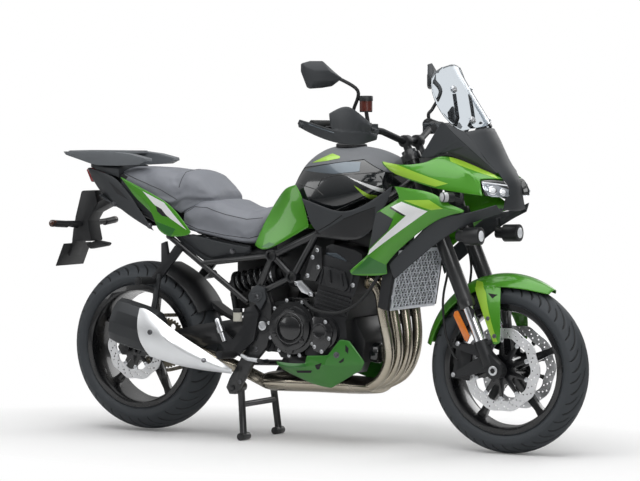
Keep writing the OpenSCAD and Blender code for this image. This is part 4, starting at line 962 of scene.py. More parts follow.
@dataclass
class Studio:
    """Camera, lamps, floor and sky."""

    camera_at: Point = (5.579876, -9.526019, 1.246562)
    yaw: float = -30.278
    pitch: float = -2.683
    lens: float = 171.2
    sensor: float = 36.0
    far_clip: float = 200.0
    floor_half: float = 60.0
    floor_tones: Flat = (0.96, 0.99)
    floor_bounce: float = 0.4
    floor_glow: float = 0.08
    fade_start: float = 1.0
    fade_length: float = 2.4
    fade_across: float = 3.0
    sky_light: float = 0.2
    gloss_low: float = 0.1
    gloss_rise: float = 0.75
    lamps: tuple = (
        ("top_box", (0.3, -0.9, 4.0), (0.0, 0.0, 0.6), 5.2, 165.0),
        ("front_box", (4.6, -4.0, 2.4), (0.3, 0.0, 0.6), 2.4, 70.0),
        ("tail_box", (-4.8, -3.2, 2.4), (-0.4, 0.0, 0.6), 2.2, 36.0),
        ("left_box", (1.0, 4.8, 2.8), (0.0, 0.0, 0.7), 2.6, 50.0),
    )

    def camera(self) -> None:
        """Sets the camera at the viewing angle."""
        data = bpy.data.cameras.new("view")
        data.lens = self.lens
        data.sensor_width = self.sensor
        data.sensor_fit = "HORIZONTAL"
        data.clip_end = self.far_clip
        made = bpy.data.objects.new("view", data)
        made.location = self.camera_at
        made.rotation_euler = (math.radians(90 + self.pitch), 0.0, math.radians(-self.yaw))
        bpy.context.scene.collection.objects.link(made)
        bpy.context.scene.camera = made

    def lamp(self, name: str, at: Point, aim: Point, size: float, watts: float) -> None:
        """Adds one soft square lamp.

        Args:
            name: Name of the lamp.
            at: Its place.
            aim: The point that it looks at.
            size: Length of its side, in metres.
            watts: Its power.
        """
        data = bpy.data.lights.new(name, "AREA")
        data.energy = watts
        data.size = size
        made = bpy.data.objects.new(name, data)
        made.location = at
        made.rotation_euler = (Vector(aim) - Vector(at)).to_track_quat("-Z", "Y").to_euler()
        bpy.context.scene.collection.objects.link(made)

    def floor(self) -> None:
        """Lays the pale floor, which keeps the shadow and is white further out."""
        half = self.floor_half
        mesh = bpy.data.meshes.new("floor")
        corners = [(-half, -half, 0.0), (half, -half, 0.0), (half, half, 0.0), (-half, half, 0.0)]
        mesh.from_pydata(corners, [], [(0, 1, 2, 3)])
        graph = Graph("pale_floor")
        cloud = graph.noise(0.4)
        dark, pale = self.floor_tones
        tone = graph.mix(cloud, (dark, dark, dark), (pale, pale, pale))
        bounce = graph.node("ShaderNodeLightPath", {}, {}, out="Is Diffuse Ray")
        dull = (self.floor_bounce, self.floor_bounce, self.floor_bounce)
        graph.set(Base_Color=graph.mix(bounce, tone, dull), Roughness=0.85)
        white = graph.node("ShaderNodeEmission", {}, {"Color": WHITE, "Strength": 1.0})
        ray = graph.node("ShaderNodeLightPath", {}, {}, out="Is Camera Ray")
        place = graph.place()
        out = place.part("X") ** 2.0 + self.fade_across * place.part("Y") ** 2.0
        far = ((out - self.fade_start) / self.fade_length).clipped(0.0, 1.0)
        share = ray * (self.floor_glow + (1.0 - self.floor_glow) * far)
        own = Sock(graph, graph.surface.outputs[0])
        both = graph.node("ShaderNodeMixShader", {}, {0: share, 1: own, 2: white})
        graph.tree.links.new(both.socket, graph.end.inputs["Surface"])
        made = bpy.data.objects.new("floor", mesh)
        mesh.materials.append(graph.material)
        bpy.context.scene.collection.objects.link(made)

    def sky(self) -> None:
        """Makes the sky white to the camera, bright overhead in reflections and soft to the rest."""
        world = bpy.data.worlds.new("studio")
        bpy.context.scene.world = world
        world.use_nodes = True
        world.node_tree.nodes.clear()
        graph = Graph.over(world.node_tree)
        seen = graph.node("ShaderNodeLightPath", {}, {}, out="Is Camera Ray")
        through = graph.node("ShaderNodeLightPath", {}, {}, out="Is Transmission Ray")
        glossy = graph.node("ShaderNodeLightPath", {}, {}, out="Is Glossy Ray")
        up = graph.node("ShaderNodeTexCoord", {}, {}, out="Generated").part("Z").clipped(0.0, 1.0)
        level = self.sky_light + glossy * (self.gloss_low + self.gloss_rise * up - self.sky_light)
        level = level + (seen + through).clipped(0.0, 1.0) * (1.0 - level)
        light = graph.node("ShaderNodeBackground", {}, {"Color": WHITE, "Strength": level})
        end = world.node_tree.nodes.new("ShaderNodeOutputWorld")
        world.node_tree.links.new(light.socket, end.inputs["Surface"])

    def build(self) -> None:
        """Builds the whole studio."""
        bpy.context.scene.view_settings.view_transform = "Standard"
        self.camera()
        self.floor()
        self.sky()
        for lamp in self.lamps:
            self.lamp(*lamp)


@dataclass
class Chassis:
    """Frame, swingarm, shock absorber, stands and footrests."""

    edge: float = 0.0016
    shock_low: Point = (-318, -52, 566)
    shock_high: Point = (-96, -52, 612)
    coil_radius: float = 34.0
    coil_turns: float = 6.5
    coil_steps: int = 260
    coil_span: Flat = (0.1, 0.76)
    coil_wire: float = 0.0062
    pivot_at: Flat = (-119, 426)
    bottle_at: Flat = (-216, -189)
    plate_bolt: float = 0.0065

    def shock(self) -> None:
        """Builds the shock absorber with a round-wire spring."""
        low = mm(*self.shock_low)
        high = mm(*self.shock_high)
        along = (high - low).normalized()
        across = Vector(LEFT)
        up = along.cross(across)
        first, span = self.coil_span
        path = []
        for i in range(self.coil_steps + 1):
            turn = 2 * math.pi * self.coil_turns * i / self.coil_steps
            spot = low.lerp(high, first + span * i / self.coil_steps)
            path.append(spot + self.coil_radius * MM * (math.cos(turn) * across + math.sin(turn) * up))
        coil = Builder().tube(path, self.coil_wire, 12)
        Piece.built("shock_spring", coil, SPRING_BLACK, "rear_shock", replaces=True)
        body = Builder()
        profile = [(0.012, -0.012), (0.02, 0.0), (0.02, 0.013), (0.042, 0.0145), (0.042, 0.026),
                   (0.02, 0.028), (0.018, 0.188), (0.042, 0.19), (0.042, 0.207), (0.03, 0.209),
                   (0.03, 0.226), (0.012, 0.23)]
        body.lathe(low, along, profile, 28)
        body.tube([low, mm(-318, -52, 520)], 0.013)
        body.tube([mm(-318, -52, 524), mm(-306.9, -40.9, 429.2)], 0.012)
        body.tube([high, mm(-87.6, -52, 668.6)], 0.01)
        Piece.built("shock_body", body, CAST_BLACK, "rear_shock")
        profile = [(0.03, 0.0), (0.0325, 0.002), (0.0325, 0.012), (0.03, 0.014)]
        knob = Builder().lathe(high - along * 0.052, along, profile)
        Piece.built("preload_ring", knob, SILVER, "rear_shock")

    def pivot(self) -> None:
        """Adds the angular covers and rings at the swingarm's pivot."""
        x, z = self.pivot_at
        cover = Builder()
        cover.slab([(-177, 535), (-160, 560), (-142, 573), (-108, 564), (-101, 523), (-126, 482), (-150, 508),
                    (-174, 512)], -171.5, -182)
        cover.slab([(-160, 541), (-118, 549), (-112, 532), (-132, 512), (-154, 516)], -181, -185)
        Piece.built("pivot_covers", cover, CHARCOAL, "frame", bevel=0.002, both=True)
        profile = [(0.031, 0.0), (0.031, 0.003), (0.024, 0.005), (0.024, 0.004), (0.0, 0.004)]
        caps = Builder().lathe(mm(x, -171.8, z), RIGHT, profile, 36)
        Piece.built("pivot_caps", caps, BLACK_PLASTIC, "frame", both=True)
        profile = [(0.0105, 0.0), (0.0165, 0.0), (0.0165, 0.005), (0.0145, 0.006), (0.0105, 0.006),
                   (0.0105, 0.001)]
        rings = Builder().lathe(mm(x, -175, z), RIGHT, profile, 36)
        Piece.built("pivot_rings", rings, SILVER, "frame", both=True)
        bolts = Builder()
        for x, z in ((-218, 218), (-148, 340), (-136, 531)):
            bolts.bolt(mm(x, -172 if z < 400 else -185, z), RIGHT, self.plate_bolt)
        Piece.built("plate_bolts", bolts, BOLT_STEEL, "frame", both=True)

    def rests(self) -> None:
        """Adds the ribbed rubbers, the pedals' bright arms, the brake cylinder and its bottle."""
        rubber = Builder()
        for y0, y1, x, z in ((-196, -280, -238, 319), (-182, -260, -600, 575)):
            steps = [(0.0138 + 0.0012 * (i % 2), i * (y0 - y1) * MM / 15) for i in range(16)]
            rubber.lathe(mm(x, y0, z), (0, -1, 0.04), steps, 20)
        Piece.built("rest_rubbers", rubber, SOFT_RUBBER, "footrests", both=True)
        arm = Builder().tube([mm(-196, -193, 316), mm(-160, -206, 306), mm(-118, -209, 303)], 0.0082, 12)
        Piece.built("pedal_arms", arm, SILVER, "footrests", both=True)
        profile = [(0.008, 0.0), (0.011, 0.004), (0.011, 0.03), (0.014, 0.032), (0.014, 0.052),
                   (0.009, 0.056), (0.008, 0.088)]
        pump = Builder().lathe(mm(-306, -188, 446), mm(34, 0, -84), profile, 18)
        Piece.built("brake_pump", pump, SILVER, "footrests")
        profile = [(0.012, 0.0), (0.0166, 0.003), (0.0166, 0.034), (0.0155, 0.036)]
        bottle = Builder().lathe(mm(*self.bottle_at, 437), UP, profile)
        Piece.built("rear_bottle", bottle, PALE_BOTTLE, "footrests")
        profile = [(0.0178, 0.0), (0.0178, 0.011), (0.016, 0.013), (0.0, 0.013)]
        cap = Builder().lathe(mm(*self.bottle_at, 473), UP, profile)
        Piece.built("rear_bottle_cap", cap, BLACK_PLASTIC, "footrests")

    def build(self) -> None:
        """Dresses the pieces of the chassis."""
        Piece.bevelled("frame", FRAME_BLACK, self.edge)
        Piece.bevelled("swingarm", FRAME_BLACK, 0.004)
        Piece.bevelled("footrests", CAST_BLACK, self.edge)
        for stand in ("centre_stand", "side_stand"):
            Piece.bevelled(stand, FRAME_BLACK, self.edge)
        Piece.smooth("rear_hugger", BLACK_PLASTIC, 2)
        self.shock()
        self.pivot()
        self.rests()


@dataclass
class Engine:
    """Engine block with its covers, and the cooling."""

    edge: float = 0.004
    clutch: Flat = (15, 424)
    clutch_bolts: tuple = (20, 67, 104, 138, 172, 202, 235, 261, 286, 329)
    bolt_circle: float = 101.0
    boss_y: float = -146.0
    lid_y: float = -204.6
    lug_circle: float = 66.0
    pulser_lid: tuple = ((104, 436), (113, 470), (158, 465), (186, 422), (181, 372), (147, 336), (112, 350),
                         (110, 392))
    pulser_bolts: tuple = ((162, 452), (176, 394), (146, 346), (117, 362))
    hanger_bolts: tuple = ((120, -194, 706), (101, -194, 680), (124, -194, 646), (80, -194, 614),
                           (30, -187, 584), (86, -187, 548), (262, -187, 585))
    guard_foot: Flat = (398.0, 498.0)
    guard_lean: float = 9.5
    guard_half: float = 160.0
    guard_rise: Flat = (4.0, 212.0)
    guard_middle: float = 112.0
    guard_pitch: float = 46.0
    guard_slant: float = 32.0
    guard_plane: Flat = (0.9, 3.7)
    bar: float = 1.3

    def covers(self) -> None:
        """Adds bosses, bolts and raised lids on the clutch and pulser covers."""
        cx, cz = self.clutch
        bosses = Builder()
        bolts = Builder()
        for angle in self.clutch_bolts:
            x = cx + self.bolt_circle * math.cos(math.radians(angle))
            z = cz + self.bolt_circle * math.sin(math.radians(angle))
            top = -188 if abs(angle - 360 * (angle > 180)) > 40 else -198
            bosses.lathe(mm(x, self.boss_y, z), RIGHT, [(0.0095, 0.0), (0.009, (self.boss_y - top) * MM)], 14)
            bolts.bolt(mm(x, top, z), RIGHT, 0.0052)
        rim = [(0.058, 0.0), (0.058, 0.007), (0.055, 0.0095), (0.05, 0.0095), (0.048, 0.0), (0.058, -0.001)]
        bosses.lathe(mm(cx, self.lid_y, cz), RIGHT, rim, 48)
        lid = [(0.044, 0.0), (0.044, 0.0035), (0.04, 0.006), (0.0, 0.0075)]
        bosses.lathe(mm(cx, self.lid_y, cz), RIGHT, lid, 40)
        for angle in (200, 320, 80):
            turn = math.radians(angle)
            spot = mm(cx + self.lug_circle * math.cos(turn), -209.5, cz + self.lug_circle * math.sin(turn))
            bosses.lathe(spot, RIGHT, [(0.011, 0.0), (0.01, 0.004), (0.0, 0.004)], 6)
        plug = [(0.016, 0.0), (0.016, 0.018), (0.012, 0.021), (0.0, 0.021)]
        bosses.lathe(mm(8, -186, 344), RIGHT, plug, 8)
        bosses.slab(self.pulser_lid, -199.5, -209)
        cap = [(0.031, 0.0), (0.03, 0.004), (0.024, 0.005), (0.022, 0.001), (0.0, 0.001)]
        bosses.lathe(mm(138, -208.6, 416), RIGHT, cap, 36)
        Piece.built("cover_lids", bosses, COVER_BLACK, "engine_covers", bevel=0.0012)
        for x, z in self.pulser_bolts:
            bolts.bolt(mm(x, -209, z), RIGHT, 0.0056)
        Piece.built("cover_bolts", bolts, SILVER, "engine_covers")

    def hangers(self) -> None:
        """Adds the brackets between the frame and the engine, the head's lids and bright bolts."""
        plate = Builder().slab([(19, 591), (49, 595), (97, 552), (97, 538), (50, 553)], -177, -187)
        Piece.built("bright_brackets", plate, SILVER, "engine", bevel=0.0015, both=True)
        outline = [(62, 600), (74, 634), (96, 690), (112, 724), (136, 716), (140, 645), (112, 594)]
        dark = Builder().slab(outline, -186.6, -194)
        Piece.built("hanger_plates", dark, FRAME_BLACK, "engine", bevel=0.0015, both=True)
        outline = [(146, 697), (190, 696), (230, 672), (232, 662), (198, 670), (150, 684)]
        lid = Builder().slab(outline, -171.8, -179)
        Piece.built("head_lids", lid, GRAPHITE, "engine", bevel=0.002, both=True)
        bolts = Builder()
        for place in self.hanger_bolts:
            bolts.bolt(mm(*place), RIGHT, 0.0062)
        Piece.built("hanger_bolts", bolts, SILVER, "engine", both=True)

    def head(self) -> None:
        """Adds the raised panel and ribs of the cylinder head's side, and the fins below it."""
        block = Builder()
        block.slab([(150, 650), (232, 630), (248, 578), (232, 562), (160, 580), (146, 612)], -186, -196)
        block.slab([(166, 640), (176, 637), (180, 590), (170, 592)], -195, -201)
        block.slab([(214, 628), (224, 625), (230, 580), (220, 582)], -195, -201)
        for i in range(5):
            z = 500 + 15 * i
            x = 100 + 4 * i
            block.slab([(x, z), (x + 132, z - 28), (x + 133, z - 22), (x + 1, z + 6)], -174, -182)
        Piece.built("head_relief", block, CAST_BLACK, "engine", bevel=0.0016, both=True)

    def hoses(self) -> None:
        """Adds the hoses and wires on the right side and the coolant hoses."""
        hose = Builder()
        bends = [(52, -176, 522), (80, -203, 514), (116, -208, 495), (169, -209, 485), (232, -207, 491),
                 (299, -200, 530), (346, -190, 590), (372, -181, 640)]
        hose.tube(bent(bends), 0.0062, 12)
        bends = [(-20, -150, 518), (30, -182, 530), (70, -188, 520), (96, -190, 486), (102, -189, 470)]
        hose.tube(bent(bends), 0.0034, 10)
        Piece.built("side_hoses", hose, SOFT_RUBBER, "engine")
        big = Builder()
        bends = [(232, 120, 430), (270, 128, 440), (320, 134, 480), (366, 140, 540), (382, 140, 560)]
        big.tube(bent(bends), 0.017, 18)
        bends = [(285, -60, 676), (320, -80, 690), (356, -120, 690), (386, -140, 680)]
        big.tube(bent(bends), 0.016, 18)
        Piece.built("coolant_hoses", big, SOFT_RUBBER, "engine")
        clips = Builder()
        for place, aim in ((mm(248, 124, 434), (1, 0.2, 0.3)), (mm(372, 140, 549), (0.8, 0.1, 0.8))):
            clips.lathe(place, aim, [(0.0172, -0.004), (0.0182, -0.004), (0.0182, 0.004), (0.0172, 0.004)])
        Piece.built("hose_clips", clips, SILVER, "engine")

    def innards(self) -> None:
        """Adds the air box, battery box, gearbox back, sump block and oil filter, which fill the frame."""
        made = Builder()
        airbox = [(-110, 650), (-56, 566), (60, 548), (98, 640), (138, 735), (120, 778), (-110, 766)]
        made.slab(airbox, -96, 96)
        made.slab([(-330, 676), (-112, 676), (-112, 748), (-330, 742)], -92, 92)
        made.slab([(-340, 470), (-130, 470), (-112, 560), (-112, 676), (-340, 676)], 6, 84)
        made.slab([(-86, 376), (-60, 376), (-60, 468), (-86, 468)], -122, 86)
        made.slab([(196, 318), (262, 302), (276, 380), (232, 466)], -122, 122)
        made.slab([(200, 738), (328, 704), (346, 790), (230, 806)], -128, 128)
        Piece.built("innards", made, BLACK_PLASTIC, "engine", bevel=0.006)
        profile = [(0.036, 0.0), (0.037, 0.03), (0.033, 0.036), (0.0, 0.036)]
        can = Builder().lathe(mm(262, -40, 338), (0.94, 0.0, -0.1), profile, 28)
        Piece.built("oil_filter", can, GLOSS_BLACK, "engine")

    def lattice(self) -> list[tuple[Flat, Flat]]:
        """The fine bars on the radiator's guard.

        Returns:
            Both ends of each bar, as (across, up) in millimetres.
        """
        low, high = self.guard_rise
        middle = self.guard_middle
        slope = math.tan(math.radians(self.guard_slant))
        lines = []
        for k in range(-8, 8):
            foot = self.guard_pitch * (k + 0.5)
            for way in (-slope, slope):
                sides = sorted(middle + (edge - foot) / way for edge in (-self.guard_half, self.guard_half))
                start, stop = max(low, sides[0]), min(high, sides[1])
                if start < stop:
                    lines.append(tuple((foot + way * (up - middle), up) for up in (start, stop)))
        rows = self.guard_pitch / slope / 4
        for k in range(-5, 6):
            lines.append(((-self.guard_half, middle + k * rows), (self.guard_half, middle + k * rows)))
        return lines

    def weave(self) -> None:
        """Adds the fine bars that split the guard's lattice into small triangles."""
        turn = Matrix.Rotation(math.radians(self.guard_lean), 4, "Y")
        foot = mm(self.guard_foot[0], 0, self.guard_foot[1])
        back, front = self.guard_plane
        made = Builder()
        for start, stop in self.lattice():
            along = (Vector(stop) - Vector(start)).normalized()
            side = Vector((-along.y, along.x)) * self.bar
            rings = []
            for end in (Vector(start), Vector(stop)):
                ring = ((end - side, back), (end + side, back), (end + side, front), (end - side, front))
                rings.append([foot + turn @ mm(out, spot.x, spot.y) for spot, out in ring])
            made.rings(rings)
        Piece.built("guard_weave", made, GUARD_ALLOY, "radiator_guard")

    def build(self) -> None:
        """Dresses the engine and the radiator."""
        Piece.bevelled("engine", CAST_BLACK, self.edge)
        Piece.bevelled("engine_covers", COVER_BLACK, 0.005, segments=3)
        Piece.bevelled("radiator", CORE_GREY, 0.002)
        Piece.bevelled("radiator_guard", GUARD_ALLOY, 0.0008, segments=1)
        self.weave()
        self.covers()
        self.hangers()
        self.innards()
        self.head()
        self.hoses()


@dataclass
class Exhaust:
    """Headers, silencer and its heat shield."""

    can_end: Point = (-728, -206, 429)
    can_dir: Point = (-0.971, 0.0, 0.238)
    port_dir: Point = (0.961, 0.0, -0.275)
    pipe_pitch: float = 84.0

    def build(self) -> None:
        """Dresses the exhaust."""
        Piece.smooth("exhaust_pipes", STAINLESS, 2)
        Piece.bevelled("silencer", SILENCER_BLACK, 0.006, limit=20.0, segments=3)
        shield = Piece.smooth("heat_shield", SATIN_ALLOY, 2)
        end = Builder()
        foot = mm(*self.can_end) + Vector(self.can_dir) * -0.002
        profile = [(0.034, 0.0), (0.034, 0.012), (0.031, 0.014), (0.026, 0.014), (0.025, 0.003), (0.0, 0.003)]
        end.lathe(foot + mm(0, 0, -16), self.can_dir, profile, 32)
        Piece.built("outlet", end, STAINLESS, "silencer")
        bolts = Builder()
        skin = Surface(shield)
        skin.bolts(bolts, [(-334, 296), (-545, 392)], 0.0075)
        Piece.built("shield_bolts", bolts, BOLT_STEEL, "heat_shield")
        rings = Builder()
        profile = [(0.019, 0.0), (0.03, 0.0), (0.03, 0.007), (0.019, 0.008)]
        for i in range(4):
            y = (i - 1.5) * self.pipe_pitch
            rings.lathe(mm(291, y, 599), self.port_dir, profile, 20)
        Piece.built("pipe_flanges", rings, STAINLESS, "exhaust_pipes")


@dataclass
class Wheels:
    """Tyres, rims, discs, sprocket and chain."""

    front_at: Point = (788.569, 0, 300)
    rear_at: Point = (-718.88, 0, 321)
    bead: float = 216.0
    flange: float = 16.0
    groove: float = 5.5
    sipe_rows: tuple = ((0.16, 0.92, 1.2, 0.0, 3.9), (0.5, 0.98, 0.5, 0.5, 3.1))
    sipe_bend: float = 1.7
    mesh_steps: Flat = (4.6, 2.4)
    hole: float = 0.0032
    hole_slant: float = 5.2
    rivets_round: int = 10
    link: float = 15.875
    chain_y: float = 104.0
    chain_front: Flat = (-45.0, 420.0)
    chain_radii: Flat = (41.0, 104.0)

    def tyre(self, node: str, at: Point, size: tuple[float, float, float, float], sipes: int) -> None:
        """Builds a tyre with curved sipes cut into its shoulders.

        Args:
            node: The tyre's node.
            at: The wheel's middle, in millimetres.
            size: Outer radius, width, crown radius and width over the beads.
            sipes: Number of long sipes on each side.
        """
        radius, width, crown, bead_width = size
        half = width / 2
        fine = self.mesh_steps[1]
        across = np.linspace(-1.0, 1.0, int(width * 1.25 / fine))
        tread = np.stack([radius - crown + np.sqrt(crown ** 2 - (across * half) ** 2), across * half], 1)
        foot = np.array([self.bead + self.flange, bead_width / 2])
        bulge = np.array([tread[-1, 0] - 20.0, half + 0.6])
        walk = np.linspace(0.0, 1.0, 10)[1:, None]
        wall = (1 - walk) ** 2 * tread[-1] + 2 * walk * (1 - walk) * bulge + walk ** 2 * foot
        lip = np.array([[self.bead, bead_width / 2]])
        flip = np.array([1.0, -1.0])
        ring = np.concatenate([lip * flip, wall[::-1] * flip, tread, wall, lip])
        spread = np.zeros(len(ring))
        spread[len(wall) + 1:len(wall) + 1 + len(tread)] = across
        around = int(2 * math.pi * radius / fine)
        turn = np.linspace(0.0, 2 * math.pi, around, endpoint=False)
        depth = self.sipes(turn[:, None], spread[None, :], radius, half, sipes)
        reach = ring[None, :, 0] - depth
        x = at[0] + reach * np.cos(turn)[:, None]
        z = at[2] + reach * np.sin(turn)[:, None]
        y = np.broadcast_to(ring[None, :, 1], x.shape)
        points = np.stack([x, y, z], 2) * MM
        made = Builder()
        made.rings([list(map(tuple, row)) for row in points], looped=True)
        mesh = made.mesh(f"{node}_tread")
        # The cut's depth is kept on the points, to paint shade into the grooves.
        mesh.attributes.new(GROOVE, "FLOAT", "POINT").data.foreach_set("value", depth.ravel() / self.groove)
        Piece.place(f"{node}_tread", mesh, RUBBER, node, replaces=True, sharp=32.0)

    def sipes(self, turn: np.ndarray, spread: np.ndarray, radius: float, half: float,
              count: int) -> np.ndarray:
        """Depth of the tread's cuts at each place.

        Args:
            turn: Angle round the wheel.
            spread: Place across the tread, -1 to 1.
            radius: Outer radius of the tyre.
            half: Half its width.
            count: Number of long sipes on each side.

        Returns:
            Depth of the cut, in millimetres.
        """
        out = np.abs(spread)
        pitch = 2 * math.pi * radius / count
        depth = np.zeros(np.broadcast(turn, spread).shape)
        bend = self.sipe_bend
        for start, stop, sweep, shift, wide in self.sipe_rows:
            share = np.clip((out - start) / (stop - start), 0.0, 1.0)
            curve_at = pitch * sweep * (1 - share) ** bend
            slope = bend * pitch * sweep * (1 - share) ** (bend - 1) / ((stop - start) * half)
            place = turn * radius - curve_at + pitch * (shift + 0.5 * (spread > 0))
            gap = np.abs((place + pitch / 2) % pitch - pitch / 2) / np.sqrt(1 + slope ** 2)
            taper = np.clip(np.sin(math.pi * share) * 2.2, 0.0, 1.0)
            cut = np.clip(2.6 * (1 - gap / (wide * taper + 1e-3)), 0.0, 1.0) * (out > start) * (out < stop)
            depth = np.maximum(depth, self.groove * cut)
        return depth

    def disc(self, node: str, at: Point, rows: int, holes: tuple[float, float, int], reach: float) -> None:
        """Drills the rows of holes through a brake disc.

        Args:
            node: The disc's node.
            at: The wheel's middle, in millimetres.
            rows: Number of slanting rows.
            holes: Radius of the innermost hole, step outward, and holes in a row.
            reach: How far the holes run to either side.
        """
        piece = Piece.bevelled(node, DISC_STEEL, 0.0004, segments=1)
        first, step, count = holes
        drill = Builder()
        for row in range(rows):
            for k in range(count):
                turn = math.radians(360 * row / rows + self.hole_slant * k)
                far = first + step * k
                spot = mm(at[0] + far * math.cos(turn), -reach, at[2] + far * math.sin(turn))
                drill.lathe(spot, LEFT, [(self.hole, 0.0), (self.hole, 2 * reach * MM)], 10)
        cutter = bpy.data.objects.new("drill", drill.mesh("drill"))
        bpy.context.scene.collection.objects.link(cutter)
        cut = piece.modifiers.new("holes", "BOOLEAN")
        cut.object = cutter
        cut.solver = "EXACT"
        Piece.settle(piece)
        bpy.data.objects.remove(cutter)
        piece.data.materials.clear()
        piece.data.materials.append(DISC_STEEL.material())
        piece.data.set_sharp_from_angle(angle=math.radians(EDGE_ANGLE))

    def rivets(self, node: str, at: Point, offsets: Sequence[float], radius: float) -> None:
        """Adds the bright rivets that hold a disc to its carrier.

        Args:
            node: The disc's node.
            at: The wheel's middle, in millimetres.
            offsets: Place of each disc across the machine.
            radius: Radius of the circle that they stand on.
        """
        made = Builder()
        profile = [(0.0085, 0.0), (0.0085, 0.002), (0.006, 0.0032), (0.0036, 0.0032), (0.003, 0.001),
                   (0.0, 0.001)]
        for y in offsets:
            side = math.copysign(1.0, y)
            for i in range(self.rivets_round):
                turn = 2 * math.pi * (i + 0.5) / self.rivets_round
                spot = mm(at[0] + radius * math.cos(turn), y + side * 2.2, at[2] + radius * math.sin(turn))
                made.lathe(spot, (0, side, 0), profile, 16)
        Piece.built(f"{node}_rivets", made, SILVER, node)

    def chain(self) -> None:
        """Builds the chain link by link, with the front sprocket."""
        front = Vector(self.chain_front)
        rear = Vector((self.rear_at[0], self.rear_at[2]))
        small, large = self.chain_radii
        middle = self.chain_y
        span = rear - front
        lean = math.atan2(span.y, span.x)
        open_ = math.asin((large - small) / span.length)
        path = []
        for k in range(49):
            turn = lean + (k / 24 - 1) * (math.pi / 2 + open_)
            path.append(rear + large * Vector((math.cos(turn), math.sin(turn))))
        for k in range(25):
            turn = lean + math.pi + (k / 12 - 1) * (math.pi / 2 - open_)
            path.append(front + small * Vector((math.cos(turn), math.sin(turn))))
        sides = [(path[(i + 1) % len(path)] - path[i]).length for i in range(len(path))]
        total = sum(sides)
        count = 2 * round(total / self.link / 2)

        def spot(far: float) -> Vector:
            """Place on the loop.

            Args:
                far: Distance along it, in millimetres.

            Returns:
                The place.
            """
            far %= total
            for i, length in enumerate(sides):
                if far <= length:
                    return path[i].lerp(path[(i + 1) % len(path)], far / length)
                far -= length
            return path[0]

        plates = Builder()
        rolls = Builder()
        roller = [(0.0026, 0.0), (0.0026, 0.0042), (0.0049, 0.0043), (0.0049, 0.0115), (0.0026, 0.0116),
                  (0.0026, 0.0158)]
        for i in range(count):
            a = spot(total * i / count)
            b = spot(total * (i + 1) / count)
            along = (b - a).normalized()
            up = Vector((-along.y, along.x))
            outline = []
            for end, way in ((a, -1), (b, 1)):
                for k in range(7):
                    turn = math.pi / 2 + math.pi * k / 6 if way < 0 else -math.pi / 2 + math.pi * k / 6
                    outline.append(end + 6.6 * (math.cos(turn) * along + math.sin(turn) * up))
            wide = 7.4 if i % 2 else 5.4
            flat = [(p.x, p.y) for p in outline]
            for side in (-1, 1):
                plates.slab(flat, middle + side * wide, middle + side * (wide - 1.7))
            rolls.lathe(mm(a.x, middle - 7.9, a.y), LEFT, roller, 10)
        Piece.built("chain_plates", plates, CHAIN_STEEL, "drive_chain", replaces=True)
        Piece.built("chain_rollers", rolls, BOLT_STEEL, "drive_chain")
        teeth = Builder()
        outline = []
        for k in range(64):
            turn = 2 * math.pi * k / 64
            far = 37.5 if k % 4 in (1, 2) else 33.0
            outline.append((front.x + far * math.cos(turn), front.y + far * math.sin(turn)))
        teeth.slab(outline, middle - 3, middle + 3)
        teeth.lathe(mm(front.x, middle - 12, front.y), LEFT, [(0.015, 0.0), (0.015, 0.02)])
        Piece.built("front_sprocket", teeth, CHAIN_STEEL, "drive_chain")

    def build(self) -> None:
        """Dresses both wheels, the chain and the rear brake."""
        self.tyre("front_tyre", self.front_at, (300.0, 120.0, 66.0, 98.0), 22)
        self.tyre("rear_tyre", self.rear_at, (315.0, 180.0, 102.0, 150.0), 20)
        Piece.bevelled("front_rim", RIM_BLACK, 0.003)
        Piece.bevelled("rear_rim", RIM_BLACK, 0.003)
        self.disc("front_discs", self.front_at, 24, (119.5, 9.6, 3), 75.0)
        self.disc("rear_disc", self.rear_at, 20, (95.0, 8.6, 3), 110.0)
        self.rivets("front_discs", self.front_at, (-62.5, 62.5), 103.0)
        self.rivets("rear_disc", self.rear_at, (-98.0,), 78.0)
        Piece.bevelled("rear_sprocket", CHAIN_STEEL, 0.0006, segments=1)
        self.chain()
        Piece.bevelled("rear_brake", CAST_BLACK, 0.003)


